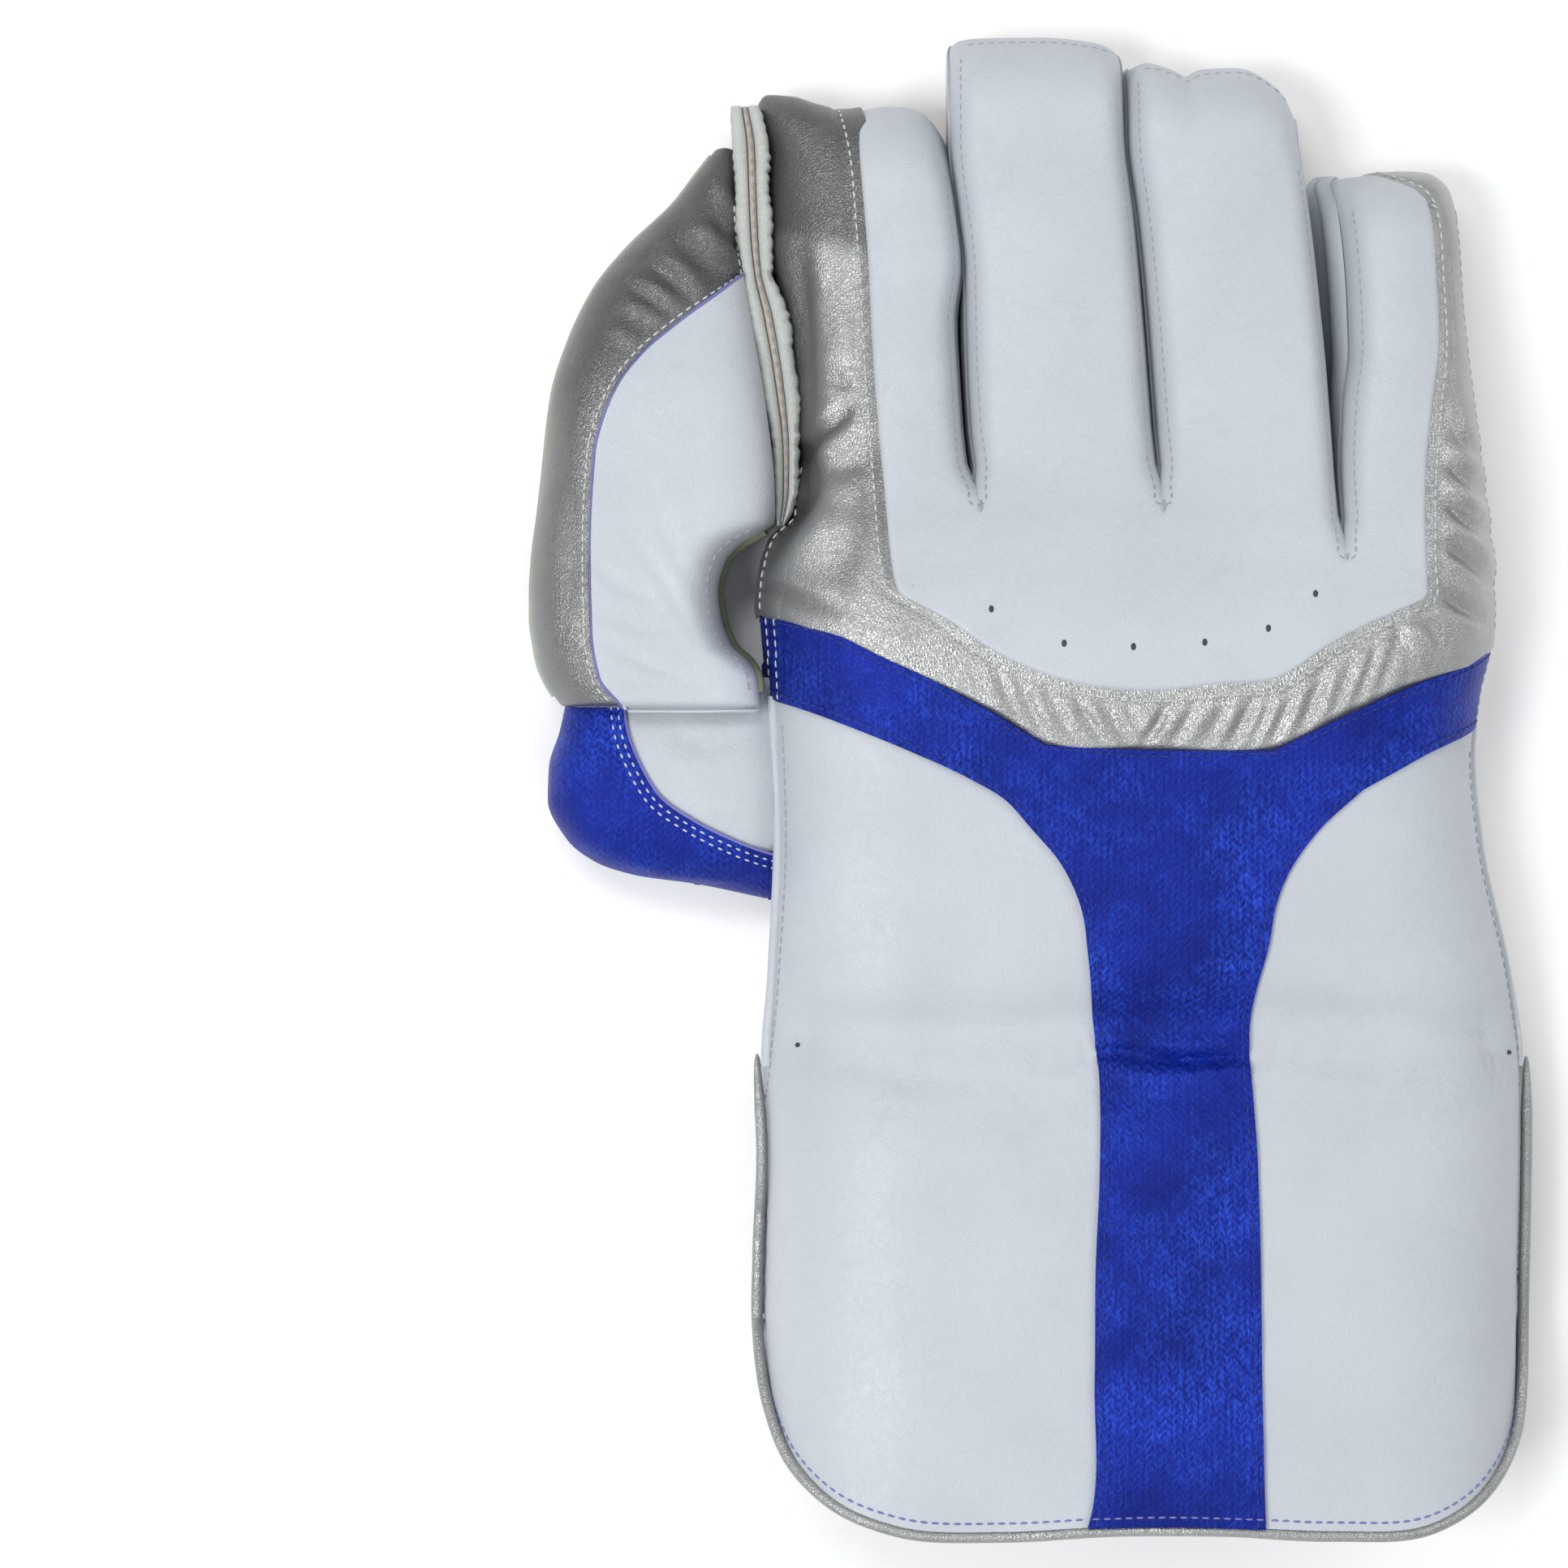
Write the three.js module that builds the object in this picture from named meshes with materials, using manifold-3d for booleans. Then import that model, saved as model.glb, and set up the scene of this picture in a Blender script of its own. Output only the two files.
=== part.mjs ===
// A right-hand wicketkeeping glove, lying palm down, as separate leather and rubber pieces.
// Millimetres, +Z up. The fingers point along +Y, the thumb lies on the -X side.
// The origin is the middle of the glove's footprint, on the surface it lies on.
import * as THREE from "three";
import { mergeVertices } from "three/addons/utils/BufferGeometryUtils.js";
import Module from "manifold-3d";

const wasm = await Module();
wasm.setup();

// Driving dimensions, in millimetres
const cuffLength = 108; // from the hem to the crease at the wrist
const handLength = 122; // from the wrist's crease to the roots of the fingers
const fingerLength = 109.3; // from the roots to the tip of the middle finger
const bodyWidth = 179.3; // across the cuff at its widest
const thumbReach = 49.8; // how far the thumb stall stands out beside the hand
const handDepth = 46; // highest point of the back of the hand
const fingerDepth = 28; // height of the finger stalls at mid length
const thumbDepth = 31; // height of the thumb stall
const baseDepth = 25; // height of the thumb's base, below the stall's lip
const seamHeight = 10; // where the back's leather meets the palm's rubber
const backWall = 2.4; // leather with its backing
const palmWall = 3; // rubber facing with its padding
const slitWidth = 1.2; // open slit between two finger stalls
const sideBand = 3.4; // width of the side-wall leather seen from above
const shoulderWidth = 30; // how far in from its edge a back rises to its full height
const underWidth = 9; // how far in the underside is still rounded
const pipingDiameter = 2.4;
const webSeamHeight = 17; // top of the raw edges between thumb and index finger
const webSeamFoot = 1; // underside of the same edges
const pieceGap = 0.3; // clearance between two pieces
const fitGap = 0.6; // clearance where the thumb's base goes into its stall

// Finish
const shoulderPower = 2.2; // 2 is an ellipse, more is squarer
const bodyFacets = { top: 12, sole: 8 }; // facets across the hand, above and below
const fingerFacets = { top: 6, sole: 4 };
const thumbFacets = { top: 7, sole: 4 };
const webFacets = { top: 4, sole: 2 };
const leastHollow = 2; // a hollow narrower than this is left solid
const clearHeight = 100; // cutters reach this far past the glove

const bodyMiddle = thumbReach / 2;
const halfWidth = bodyWidth / 2;
const hemY = -(cuffLength + handLength + fingerLength) / 2;
const wristY = hemY + cuffLength;
const rootY = wristY + handLength;

// Along the glove, 0 is the hem, 1 the wrist's crease, 2 the finger roots, 3 the middle fingertip.
function alongToY(along) {
  if (along < 1) return hemY + along * cuffLength;
  if (along < 2) return wristY + (along - 1) * handLength;
  return rootY + (along - 2) * fingerLength;
}

// Across it, 0 is the middle of hand and cuff, 1 and -1 their edges, -2 the thumb's outer edge.
function acrossToX(across) {
  if (across > -1) return bodyMiddle + across * halfWidth;
  return bodyMiddle - halfWidth + (across + 1) * thumbReach;
}

// A table with named columns: each row becomes one record.
function table(columns, rows) {
  const names = columns.split(" ");
  return rows.map((row) => Object.fromEntries(names.map((name, i) => [name, row[i]])));
}

// Sections from wrist side to tips. Crest is a share of the depth named below each table,
// left and right rise are shares of shoulderWidth.
const sectionColumns = "along left right crest riseLeft riseRight";

const bodyRows = table(sectionColumns, [
  [-0.13, -0.967, 0.967, 0.98, 1.25, 1.25],
  [0.31, -0.967, 0.955, 0.97, 1.25, 1.25],
  [0.78, -0.957, 0.965, 0.92, 1.2, 1.2],
  [0.975, -0.973, 0.967, 0.84, 1.15, 1.15],
  [1.14, -0.957, 0.935, 0.87, 1.1, 1.1],
  [1.39, -0.943, 0.861, 0.94, 1.1, 1.1],
  [1.55, -0.951, 0.841, 0.97, 1.05, 1.05],
  [1.66, -0.959, 0.857, 1.0, 1.05, 1.05],
  [1.75, -0.969, 0.882, 1.0, 1.0, 1.0],
  [1.83, -0.978, 0.884, 0.97, 0.95, 0.95],
  [1.895, -0.971, 0.884, 0.93, 0.9, 0.8],
  [1.945, -0.951, 0.875, 0.9, 0.85, 0.65],
  [1.995, -0.898, 0.865, 0.86, 0.75, 0.5],
  [2.035, -0.885, 0.86, 0.82, 0.7, 0.4],
]);

const indexRows = table(sectionColumns, [
  [1.89, -0.928, -0.432, 1.36, 0.85, 0.16],
  [2.116, -0.875, -0.446, 1.27, 0.7, 0.16],
  [2.424, -0.904, -0.461, 1.12, 0.66, 0.16],
  [2.502, -0.937, -0.463, 1.08, 0.68, 0.16],
  [2.612, -0.943, -0.479, 1.02, 0.7, 0.16],
  [2.745, -0.945, -0.497, 0.95, 0.68, 0.18],
  [2.8, -0.957, -0.53, 0.9, 0.66, 0.22],
  [2.844, -0.973, -0.571, 0.82, 0.6, 0.3],
  [2.872, -0.959, -0.622, 0.64, 0.5, 0.4],
]);

const middleRows = table(sectionColumns, [
  [1.89, -0.432, 0.021, 1.4, 0.16, 0.16],
  [2.0, -0.432, 0.021, 1.38, 0.16, 0.16],
  [2.171, -0.45, 0.011, 1.29, 0.16, 0.16],
  [2.347, -0.459, -0.005, 1.18, 0.16, 0.16],
  [2.612, -0.473, -0.03, 1.05, 0.16, 0.16],
  [2.777, -0.493, -0.05, 0.98, 0.18, 0.18],
  [2.943, -0.493, -0.058, 0.9, 0.2, 0.2],
  [2.978, -0.485, -0.064, 0.82, 0.25, 0.25],
  [3.0, -0.459, -0.091, 0.66, 0.3, 0.3],
]);

const ringRows = table(sectionColumns, [
  [1.89, 0.021, 0.471, 1.38, 0.16, 0.16],
  [1.985, 0.021, 0.467, 1.37, 0.16, 0.16],
  [2.171, 0.013, 0.455, 1.28, 0.16, 0.16],
  [2.435, -0.007, 0.434, 1.12, 0.16, 0.16],
  [2.612, -0.026, 0.414, 1.04, 0.16, 0.16],
  [2.723, -0.038, 0.395, 0.99, 0.18, 0.18],
  [2.856, -0.046, 0.361, 0.92, 0.2, 0.2],
  [2.909, -0.04, 0.318, 0.82, 0.25, 0.25],
  [2.94, 0.001, 0.256, 0.66, 0.3, 0.3],
]);

const pinkyRows = table(sectionColumns, [
  [1.83, 0.471, 0.884, 1.38, 0.16, 0.9],
  [1.9, 0.471, 0.884, 1.36, 0.16, 0.75],
  [1.994, 0.463, 0.865, 1.3, 0.2, 0.5],
  [2.126, 0.455, 0.845, 1.22, 0.26, 0.36],
  [2.435, 0.434, 0.804, 1.03, 0.34, 0.32],
  [2.557, 0.424, 0.798, 0.96, 0.34, 0.34],
  [2.656, 0.424, 0.794, 0.88, 0.34, 0.36],
  [2.695, 0.461, 0.765, 0.8, 0.34, 0.36],
  [2.715, 0.502, 0.698, 0.66, 0.34, 0.36],
]);

const stallRows = table(sectionColumns, [
  [1.631, -1.846, -0.982, 0.97, 0.5, 0.3],
  [1.682, -1.93, -0.986, 1.0, 0.5, 0.3],
  [1.717, -1.967, -1.015, 1.0, 0.5, 0.3],
  [1.747, -1.982, -1.092, 1.0, 0.48, 0.3],
  [1.805, -2.0, -1.147, 1.0, 0.46, 0.3],
  [1.853, -2.0, -1.162, 1.0, 0.45, 0.3],
  [1.907, -1.993, -1.132, 1.0, 0.43, 0.3],
  [1.942, -1.985, -1.062, 1.0, 0.42, 0.35],
  [1.963, -1.978, -0.982, 1.0, 0.42, 0.4],
  [1.982, -1.971, -0.943, 1.0, 0.42, 0.45],
  [2.052, -1.952, -0.945, 0.99, 0.42, 0.5],
  [2.252, -1.901, -0.973, 0.96, 0.48, 0.5],
  [2.362, -1.827, -0.996, 0.92, 0.52, 0.5],
  [2.475, -1.706, -1.033, 0.86, 0.56, 0.45],
  [2.557, -1.562, -1.059, 0.8, 0.55, 0.4],
  [2.653, -1.342, -1.074, 0.7, 0.4, 0.25],
  [2.718, -1.232, -1.081, 0.6, 0.2, 0.12],
  [2.765, -1.151, -1.081, 0.5, 0.1, 0.08],
]);

// The thumb's base has two more columns: how much of the stall's wall and clearance it stays
// inside of at its outer and lower side, and at its inner side. Its last rows lie in the stall.
const baseRows = table(sectionColumns + " tuck tuckRight", [
  [1.28, -0.961, -0.86, 0.52, 0.5, 0.3, 0, 0],
  [1.307, -1.239, -0.86, 0.64, 0.5, 0.3, 0, 0],
  [1.325, -1.54, -0.86, 0.74, 0.45, 0.3, 0, 0],
  [1.349, -1.717, -0.86, 0.84, 0.4, 0.3, 0, 0],
  [1.391, -1.846, -0.86, 0.94, 0.4, 0.3, 0, 0],
  [1.462, -1.93, -0.86, 1.0, 0.4, 0.3, 0.2, 0],
  [1.522, -1.925, -0.86, 1.0, 0.4, 0.3, 0.4, 0],
  [1.59, -1.875, -0.86, 0.96, 0.4, 0.3, 0.8, 0],
  [1.621, -1.85, -0.86, 0.95, 0.4, 0.3, 1, 0],
  [1.627, -1.85, -0.984, 0.94, 0.4, 0.3, 1, 1],
  [1.675, -1.85, -0.984, 0.92, 0.4, 0.3, 1, 1],
]);

// The raw edges between thumb and index finger stand between these two borders.
const webSeamRows = table(sectionColumns, [
  [1.985, -0.939, -0.908, 1, 0.06, 0.06],
  [2.047, -0.941, -0.884, 1, 0.06, 0.06],
  [2.141, -0.947, -0.879, 1, 0.06, 0.06],
  [2.28, -0.975, -0.888, 1, 0.06, 0.06],
  [2.408, -1.007, -0.912, 1, 0.06, 0.06],
  [2.502, -1.04, -0.947, 1, 0.06, 0.06],
  [2.586, -1.062, -0.953, 1, 0.06, 0.06],
  [2.765, -1.08, -0.96, 0.98, 0.06, 0.06],
  [2.847, -1.09, -0.99, 0.9, 0.06, 0.06],
]);

// Slits between the fingers: points from the slit's end to the tips, with the width of the
// side wall on both sides of it as shares of sideBand.
const slitColumns = "across along bandLeft bandRight";
const slits = {
  fourchette_index: table(slitColumns, [
    [-0.432, 2.0, 1, 1],
    [-0.453, 2.171, 1, 1],
    [-0.461, 2.347, 1, 1],
    [-0.461, 2.502, 1, 1],
    [-0.477, 2.612, 1, 1],
    [-0.496, 2.745, 1, 1],
    [-0.499, 2.95, 1, 1],
    [-0.499, 3.05, 1, 1],
  ]),
  fourchette_middle: table(slitColumns, [
    [0.021, 1.985, 1, 1],
    [0.013, 2.171, 1, 1],
    [-0.007, 2.435, 1, 1],
    [-0.026, 2.612, 1, 1],
    [-0.046, 2.777, 1, 1],
    [-0.05, 2.909, 1, 1],
    [-0.052, 3.05, 1, 1],
  ]),
  fourchette_ring: table(slitColumns, [
    [0.471, 1.901, 1, 1],
    [0.461, 2.06, 1, 1.2],
    [0.448, 2.28, 1, 1.9],
    [0.434, 2.435, 1, 2.5],
    [0.416, 2.612, 1, 2.6],
    [0.407, 2.73, 1, 2.6],
  ]),
};

// Seams seen from above, as [across, along] points.
const whiteBackSeam = [
  [-0.759, 2.93], [-0.753, 2.844], [-0.728, 2.745], [-0.714, 2.612], [-0.704, 2.502],
  [-0.696, 2.369], [-0.685, 2.215], [-0.671, 2.06], [-0.661, 1.936], [-0.649, 1.856],
  [-0.62, 1.826], [-0.514, 1.783], [-0.379, 1.718], [-0.218, 1.673], [-0.083, 1.658],
  [0.026, 1.658], [0.158, 1.669], [0.289, 1.678], [0.428, 1.742], [0.667, 1.829],
  [0.667, 1.906], [0.677, 2.06], [0.698, 2.215], [0.716, 2.336], [0.712, 2.48],
  [0.704, 2.612], [0.69, 2.645], [0.6, 2.675], [0.52, 2.73], [0.5, 2.8],
];
const blueTopSeam = [
  [-1.2, 1.835], [-0.953, 1.802], [-0.822, 1.777], [-0.685, 1.724], [-0.497, 1.657],
  [-0.367, 1.604], [-0.275, 1.562], [-0.03, 1.553], [0.289, 1.552], [0.491, 1.624],
  [0.63, 1.669], [0.757, 1.705], [0.882, 1.751], [1.05, 1.8],
];
const blueThumbSeam = [
  [-1.2, 1.69], [-0.953, 1.654], [-0.849, 1.625], [-0.726, 1.589], [-0.596, 1.549],
  [-0.465, 1.504], [-0.367, 1.46], [-0.312, 1.415], [-0.232, 1.345], [-0.183, 1.267],
  [-0.164, 1.178], [-0.148, 1.06], [-0.136, 0.978], [-0.136, 0.776], [-0.148, 0.554],
  [-0.152, 0.331], [-0.164, 0.053], [-0.169, -0.13],
];
const blueOuterSeam = [
  [1.05, 1.66], [0.851, 1.603], [0.671, 1.547], [0.508, 1.481], [0.399, 1.406],
  [0.32, 1.319], [0.299, 1.276], [0.281, 1.198], [0.252, 1.109], [0.24, 1.019],
  [0.246, 0.91], [0.256, 0.666], [0.26, 0.331], [0.267, 0.063], [0.267, -0.13],
];
const handEdgeSeam = [
  [-0.98, 1.74], [-0.963, 1.661], [-0.956, 1.547], [-0.948, 1.394], [-0.953, 1.274],
  [-0.965, 1.2],
];
const facingSeam = [
  [-1.1, 2.064], [-0.847, 2.05], [-0.755, 2.027], [-0.612, 1.892], [-0.52, 1.742],
  [-0.489, 1.622], [-0.489, 1.442], [-0.387, 1.262], [-0.275, 1.067], [-0.234, 1.03],
  [-0.173, 0.849],
];
const gussetSeam = [
  [-0.275, 1.067], [-0.438, 1.15], [-0.642, 1.24], [-0.847, 1.274], [-0.969, 1.255],
  [-2.1, 1.2],
];
const thumbBandSeam = [
  [-0.95, 2.52], [-1.062, 2.497], [-1.158, 2.446], [-1.316, 2.391], [-1.489, 2.324],
  [-1.61, 2.252], [-1.684, 2.168], [-1.71, 2.114], [-1.732, 1.924], [-1.724, 1.771],
  [-1.688, 1.687], [-1.577, 1.631], [-1.52, 1.58],
];
const thumbBaseSeam = [
  [-1.6, 1.7], [-1.577, 1.652], [-1.555, 1.58], [-1.496, 1.522], [-1.412, 1.468],
  [-1.265, 1.426], [-1.092, 1.391], [-0.953, 1.364], [-0.9, 1.35],
];
const cuffOutline = [
  [-1.006, 0.975], [-0.99, 0.776], [-1.0, 0.554], [-1.0, 0.386], [-0.971, 0.242],
  [-0.916, 0.141], [-0.81, 0.063], [-0.649, 0.014], [-0.379, 0.002], [-0.109, 0.014],
  [0.158, 0.014], [0.428, 0.003], [0.698, 0.019], [0.83, 0.075], [0.939, 0.186],
  [0.98, 0.331], [0.986, 0.554], [0.996, 0.888], [1.0, 0.975],
];
const palmCuffAlong = 0.849; // the palm facing and the wrist panel end here
const facingLowAlong = 1.964; // the thumb's rubber facing ends here
const bandLowAlong = 1.79; // the silver strip below it ends here
const pipingFacets = 3; // facets round half of the piping
const pipingStep = 6.5; // length of one straight piece of the piping

const corner = (across, along) => [acrossToX(across), alongToY(along)];
const flat = (points) => points.map(([across, along]) => corner(across, along));

// A line moved sideways, to its left if the distance is positive: one distance for the whole
// line, or one for each point.
function moved(line, distance) {
  return line.map(([x, y], i) => {
    const before = line[Math.max(i - 1, 0)];
    const after = line[Math.min(i + 1, line.length - 1)];
    const dx = after[0] - before[0];
    const dy = after[1] - before[1];
    const length = Math.hypot(dx, dy);
    const side = typeof distance === "number" ? distance : distance[i];
    return [x - (dy / length) * side, y + (dx / length) * side];
  });
}

function solidOf(geometry) {
  geometry.deleteAttribute("normal");
  geometry.deleteAttribute("uv");
  const merged = mergeVertices(geometry, 1e-4);
  return new wasm.Manifold(
    new wasm.Mesh({
      numProp: 3,
      vertProperties: merged.attributes.position.array,
      triVerts: new Uint32Array(merged.index.array),
    }),
  );
}

// An upright block over a closed outline seen from above.
function prism(outline, low = -clearHeight, high = clearHeight) {
  const shape = new THREE.Shape(outline.map(([x, y]) => new THREE.Vector2(x, y)));
  const geometry = new THREE.ExtrudeGeometry(shape, {
    depth: high - low,
    bevelEnabled: false,
    curveSegments: 1,
  });
  return solidOf(geometry.translate(0, 0, low));
}

// An upright strip along a line, from one distance on its left to another on its right.
function strip(line, left, right = left) {
  const negative = typeof right === "number" ? -right : right.map((r) => -r);
  return prism([...moved(line, left), ...moved(line, negative).reverse()]);
}

const knife = (line) => strip(line, pieceGap / 2);

// Rises from 0 at an edge to 1 at the end of the shoulder, upright at first and level at the end.
function shoulder(share) {
  const left = 1 - Math.min(Math.max(share, 0), 1);
  return Math.pow(1 - Math.pow(left, shoulderPower), 1 / shoulderPower);
}

// Turns a table row into millimetres. Inset moves every wall inwards by its own thickness.
function sectionOf(row, depth, inset) {
  const side = inset ? backWall : 0;
  const floor = inset ? palmWall : 0;
  const { tuck = 0, tuckRight = 0 } = row;
  return {
    y: alongToY(row.along),
    left: acrossToX(row.left) + side + tuck * (backWall + fitGap),
    right: acrossToX(row.right) - side - tuckRight * (backWall + fitGap),
    crest: row.crest * depth - side,
    riseLeft: row.riseLeft * shoulderWidth,
    riseRight: row.riseRight * shoulderWidth,
    sole: floor + tuck * (palmWall + fitGap),
  };
}

function topOf(section, x) {
  const up = shoulder((x - section.left) / section.riseLeft);
  const down = shoulder((section.right - x) / section.riseRight);
  return seamHeight + (section.crest - seamHeight) * up * down;
}

function soleOf(section, x) {
  const width = Math.min(underWidth, (section.right - section.left) / 2);
  const up = shoulder((x - section.left) / width);
  const down = shoulder((section.right - x) / width);
  return seamHeight - (seamHeight - section.sole) * up * down;
}

// A closed solid through sections, each of a sole and a top that meet at seamHeight.
function loft(sections, facets) {
  const points = [];
  const faces = [];
  const ring = facets.sole + facets.top;
  for (const section of sections) {
    const width = section.right - section.left;
    const place = (share) => section.left + (width * (1 - Math.cos(Math.PI * share))) / 2;
    for (let i = 0; i < facets.sole; i++) {
      const x = place(i / facets.sole);
      points.push(x, section.y, soleOf(section, x));
    }
    for (let i = facets.top; i > 0; i--) {
      const x = place(i / facets.top);
      points.push(x, section.y, topOf(section, x));
    }
  }
  for (let row = 0; row + 1 < sections.length; row++)
    for (let i = 0; i < ring; i++) {
      const a = row * ring + i;
      const b = row * ring + ((i + 1) % ring);
      faces.push(a, b + ring, b, a, a + ring, b + ring);
    }
  for (const end of [0, sections.length - 1]) {
    const contour = [];
    for (let i = 0; i < ring; i++) {
      const at = 3 * (end * ring + i);
      contour.push(new THREE.Vector2(points[at], points[at + 2]));
    }
    for (const [a, b, c] of THREE.ShapeUtils.triangulateShape(contour, [])) {
      const corners = end ? [a, c, b] : [a, b, c];
      faces.push(...corners.map((i) => end * ring + i));
    }
  }
  const geometry = new THREE.BufferGeometry();
  geometry.setAttribute("position", new THREE.Float32BufferAttribute(points, 3));
  geometry.setIndex(faces);
  return solidOf(geometry);
}

const outside = (rows, depth, facets) =>
  loft(rows.map((row) => sectionOf(row, depth, false)), facets);

// The hollow inside such a solid. Its far end is closed by the wall unless it is open, and an
// open end runs on past the solid's own end.
function inside(rows, depth, facets, { openLow = false, openHigh = false } = {}) {
  const all = rows.map((row) => sectionOf(row, depth, true));
  const fit = all.filter((s) => s.right - s.left > leastHollow && s.crest > seamHeight);
  const first = { ...fit[0] };
  const last = { ...fit[fit.length - 1] };
  const low = all[0].y + (openLow ? -palmWall : backWall);
  const high = all[all.length - 1].y + (openHigh ? palmWall : -backWall);
  const between = fit.filter((s) => s.y > low && s.y < high);
  first.y = Math.max(low, first.y - (openLow ? palmWall : 0));
  last.y = Math.min(high, last.y + (openHigh ? palmWall : 0));
  const rowsInside = between.filter((s) => s.y > first.y + 1e-3 && s.y < last.y - 1e-3);
  return loft([first, ...rowsInside, last], facets);
}

const joined = (solids) => solids.reduce((all, one) => all.add(one));

// Keeps the piece itself and drops the offcuts that a seam's end can leave.
function wholePiece(solid) {
  return solid.decompose().reduce((a, b) => (b.volume() > a.volume() ? b : a));
}

// Slits, and the side walls that line them
const slitLines = Object.fromEntries(
  Object.entries(slits).map(([name, rows]) => [name, flat(rows.map((r) => [r.across, r.along]))]),
);

function bandOf(name, extra) {
  const rows = slits[name];
  const line = slitLines[name];
  const [x, y] = line[0];
  const started = [[x, y - sideBand - extra], ...line];
  const widths = (key) => [rows[0], ...rows].map((r) => r[key] * sideBand + extra);
  return strip(started, widths("bandLeft"), widths("bandRight"));
}

const slitNames = Object.keys(slits);
const openSlits = joined(slitNames.map((name) => strip(slitLines[name], slitWidth / 2)));
const slitGuards = joined(
  slitNames.map((name) => {
    const [x, y] = slitLines[name][0];
    return strip([[x, y - backWall], ...slitLines[name]], slitWidth / 2 + backWall);
  }),
);

// Hand, cuff, fingers and the thumb's base are one hollow form before they are cut at the seams
const cuffLine = flat(cuffOutline);
const cuffEdge = moved(cuffLine, pipingDiameter + 2.5 * pieceGap);
const trimmed = prism([...cuffEdge, ...flat([[1.3, 1], [1.3, 3.2], [-2.3, 3.2], [-2.3, 1]])]);
const fingers = [indexRows, middleRows, ringRows, pinkyRows];
const form = joined([
  outside(bodyRows, handDepth, bodyFacets),
  ...fingers.map((rows) => outside(rows, fingerDepth, fingerFacets)),
]).subtract(openSlits);
const hollow = joined([
  inside(bodyRows, handDepth, bodyFacets, { openLow: true }),
  ...fingers.map((rows) => inside(rows, fingerDepth, fingerFacets)),
]).subtract(slitGuards);
const base = outside(baseRows, baseDepth, thumbFacets);
const baseHollow = inside(baseRows, baseDepth, thumbFacets, { openHigh: true });
const shell = form.add(base).subtract(hollow.add(baseHollow)).intersect(trimmed);

const far = flat([[-2.3, -0.3], [1.3, -0.3], [1.3, 3.2], [-2.3, 3.2]]);
const aboveSeam = prism(far, seamHeight + pieceGap / 2, clearHeight);
const belowSeam = prism(far, -clearHeight, seamHeight - pieceGap / 2);

const whiteLine = flat(whiteBackSeam);
const blueTopLine = flat(blueTopSeam);
const blueThumbLine = flat(blueThumbSeam);
const blueOuterLine = flat(blueOuterSeam);
const handEdgeLine = flat(handEdgeSeam);
const facingLine = flat(facingSeam);
const gussetLine = flat(gussetSeam);
const bandLine = flat(thumbBandSeam);
const baseLine = flat(thumbBaseSeam);

const insideWhite = prism([corner(0.5, 3.2), corner(-0.759, 3.2), ...whiteLine]);
const aboveBlue = prism([...blueTopLine, corner(1.3, 3.2), corner(-1.3, 3.2)]);
const thumbSide = prism([...blueThumbLine, corner(-1.3, -0.2)]);
const outerSide = prism([...blueOuterLine, corner(1.3, -0.2)]);
const baseZone = prism([...handEdgeLine, corner(-2.3, 1.2), corner(-2.3, 1.74)]);
const blueBase = prism([...baseLine, corner(-0.9, 1.1), corner(-2.3, 1.1), corner(-2.3, 1.7)]);

const bands = joined(slitNames.map((name) => bandOf(name, pieceGap)));
const back = shell.intersect(aboveSeam).subtract(baseZone).subtract(knife(handEdgeLine));
const handBack = back.subtract(bands);
const baseShell = shell.intersect(baseZone).subtract(knife(handEdgeLine));
const palm = shell.intersect(belowSeam);

const palmCuffY = alongToY(palmCuffAlong);
const facingX = acrossToX(facingSeam[facingSeam.length - 1][0]);
const farLeft = acrossToX(-2.3);
const farRight = acrossToX(1.3);
const palmFacingZone = prism([
  ...facingLine,
  [farRight, palmCuffY],
  corner(1.3, 3.2),
  corner(-1.1, 3.2),
]);
const gussetStart = facingSeam.findIndex(([x, y]) => x === gussetSeam[0][0] && y === gussetSeam[0][1]);
const facingUpper = facingLine.slice(0, gussetStart + 1);
const gussetZone = prism([...facingUpper, ...gussetLine, corner(-2.3, 1.2), corner(-2.3, 2.064)]);
const cuffPalmZone = prism([
  [farLeft, palmCuffY - pieceGap],
  [farRight, palmCuffY - pieceGap],
  corner(1.3, -0.2),
  corner(-2.3, -0.2),
]);
const wristZone = prism([
  [farLeft, palmCuffY],
  [facingX, palmCuffY],
  ...facingLine.slice(gussetStart).reverse(),
  ...gussetLine,
]);

// A slice of the glove between two heights along it
const slice = (lowAlong, highAlong, lowGap, highGap) =>
  prism([
    [farLeft, alongToY(lowAlong) + lowGap],
    [farRight, alongToY(lowAlong) + lowGap],
    [farRight, alongToY(highAlong) - highGap],
    [farLeft, alongToY(highAlong) - highGap],
  ]);

// Thumb stall, open at its lower end
const stallForm = outside(stallRows, thumbDepth, thumbFacets);
const stall = stallForm.subtract(inside(stallRows, thumbDepth, thumbFacets, { openLow: true }));
const underStrip = slice(bandLowAlong, facingLowAlong, pieceGap, pieceGap);
const bandZone = prism([...bandLine, corner(-2.3, 1.5), corner(-2.3, 3.1), corner(-0.95, 3.1)]);
const stallTop = stall.intersect(aboveSeam);
const stallSole = stall.intersect(belowSeam);
// Piping: a round cord sewn to a panel's edge, round the cuff from one side to the other
const pipingLine = moved(cuffLine, pipingDiameter / 2);
function bodySectionAt(y) {
  const rows = bodyRows.map((row) => sectionOf(row, handDepth, false));
  const next = Math.max(1, rows.findIndex((s) => s.y >= y));
  const [a, b] = [rows[next - 1], rows[next]];
  const share = (y - a.y) / (b.y - a.y);
  return Object.fromEntries(Object.keys(a).map((key) => [key, a[key] + (b[key] - a[key]) * share]));
}

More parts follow.
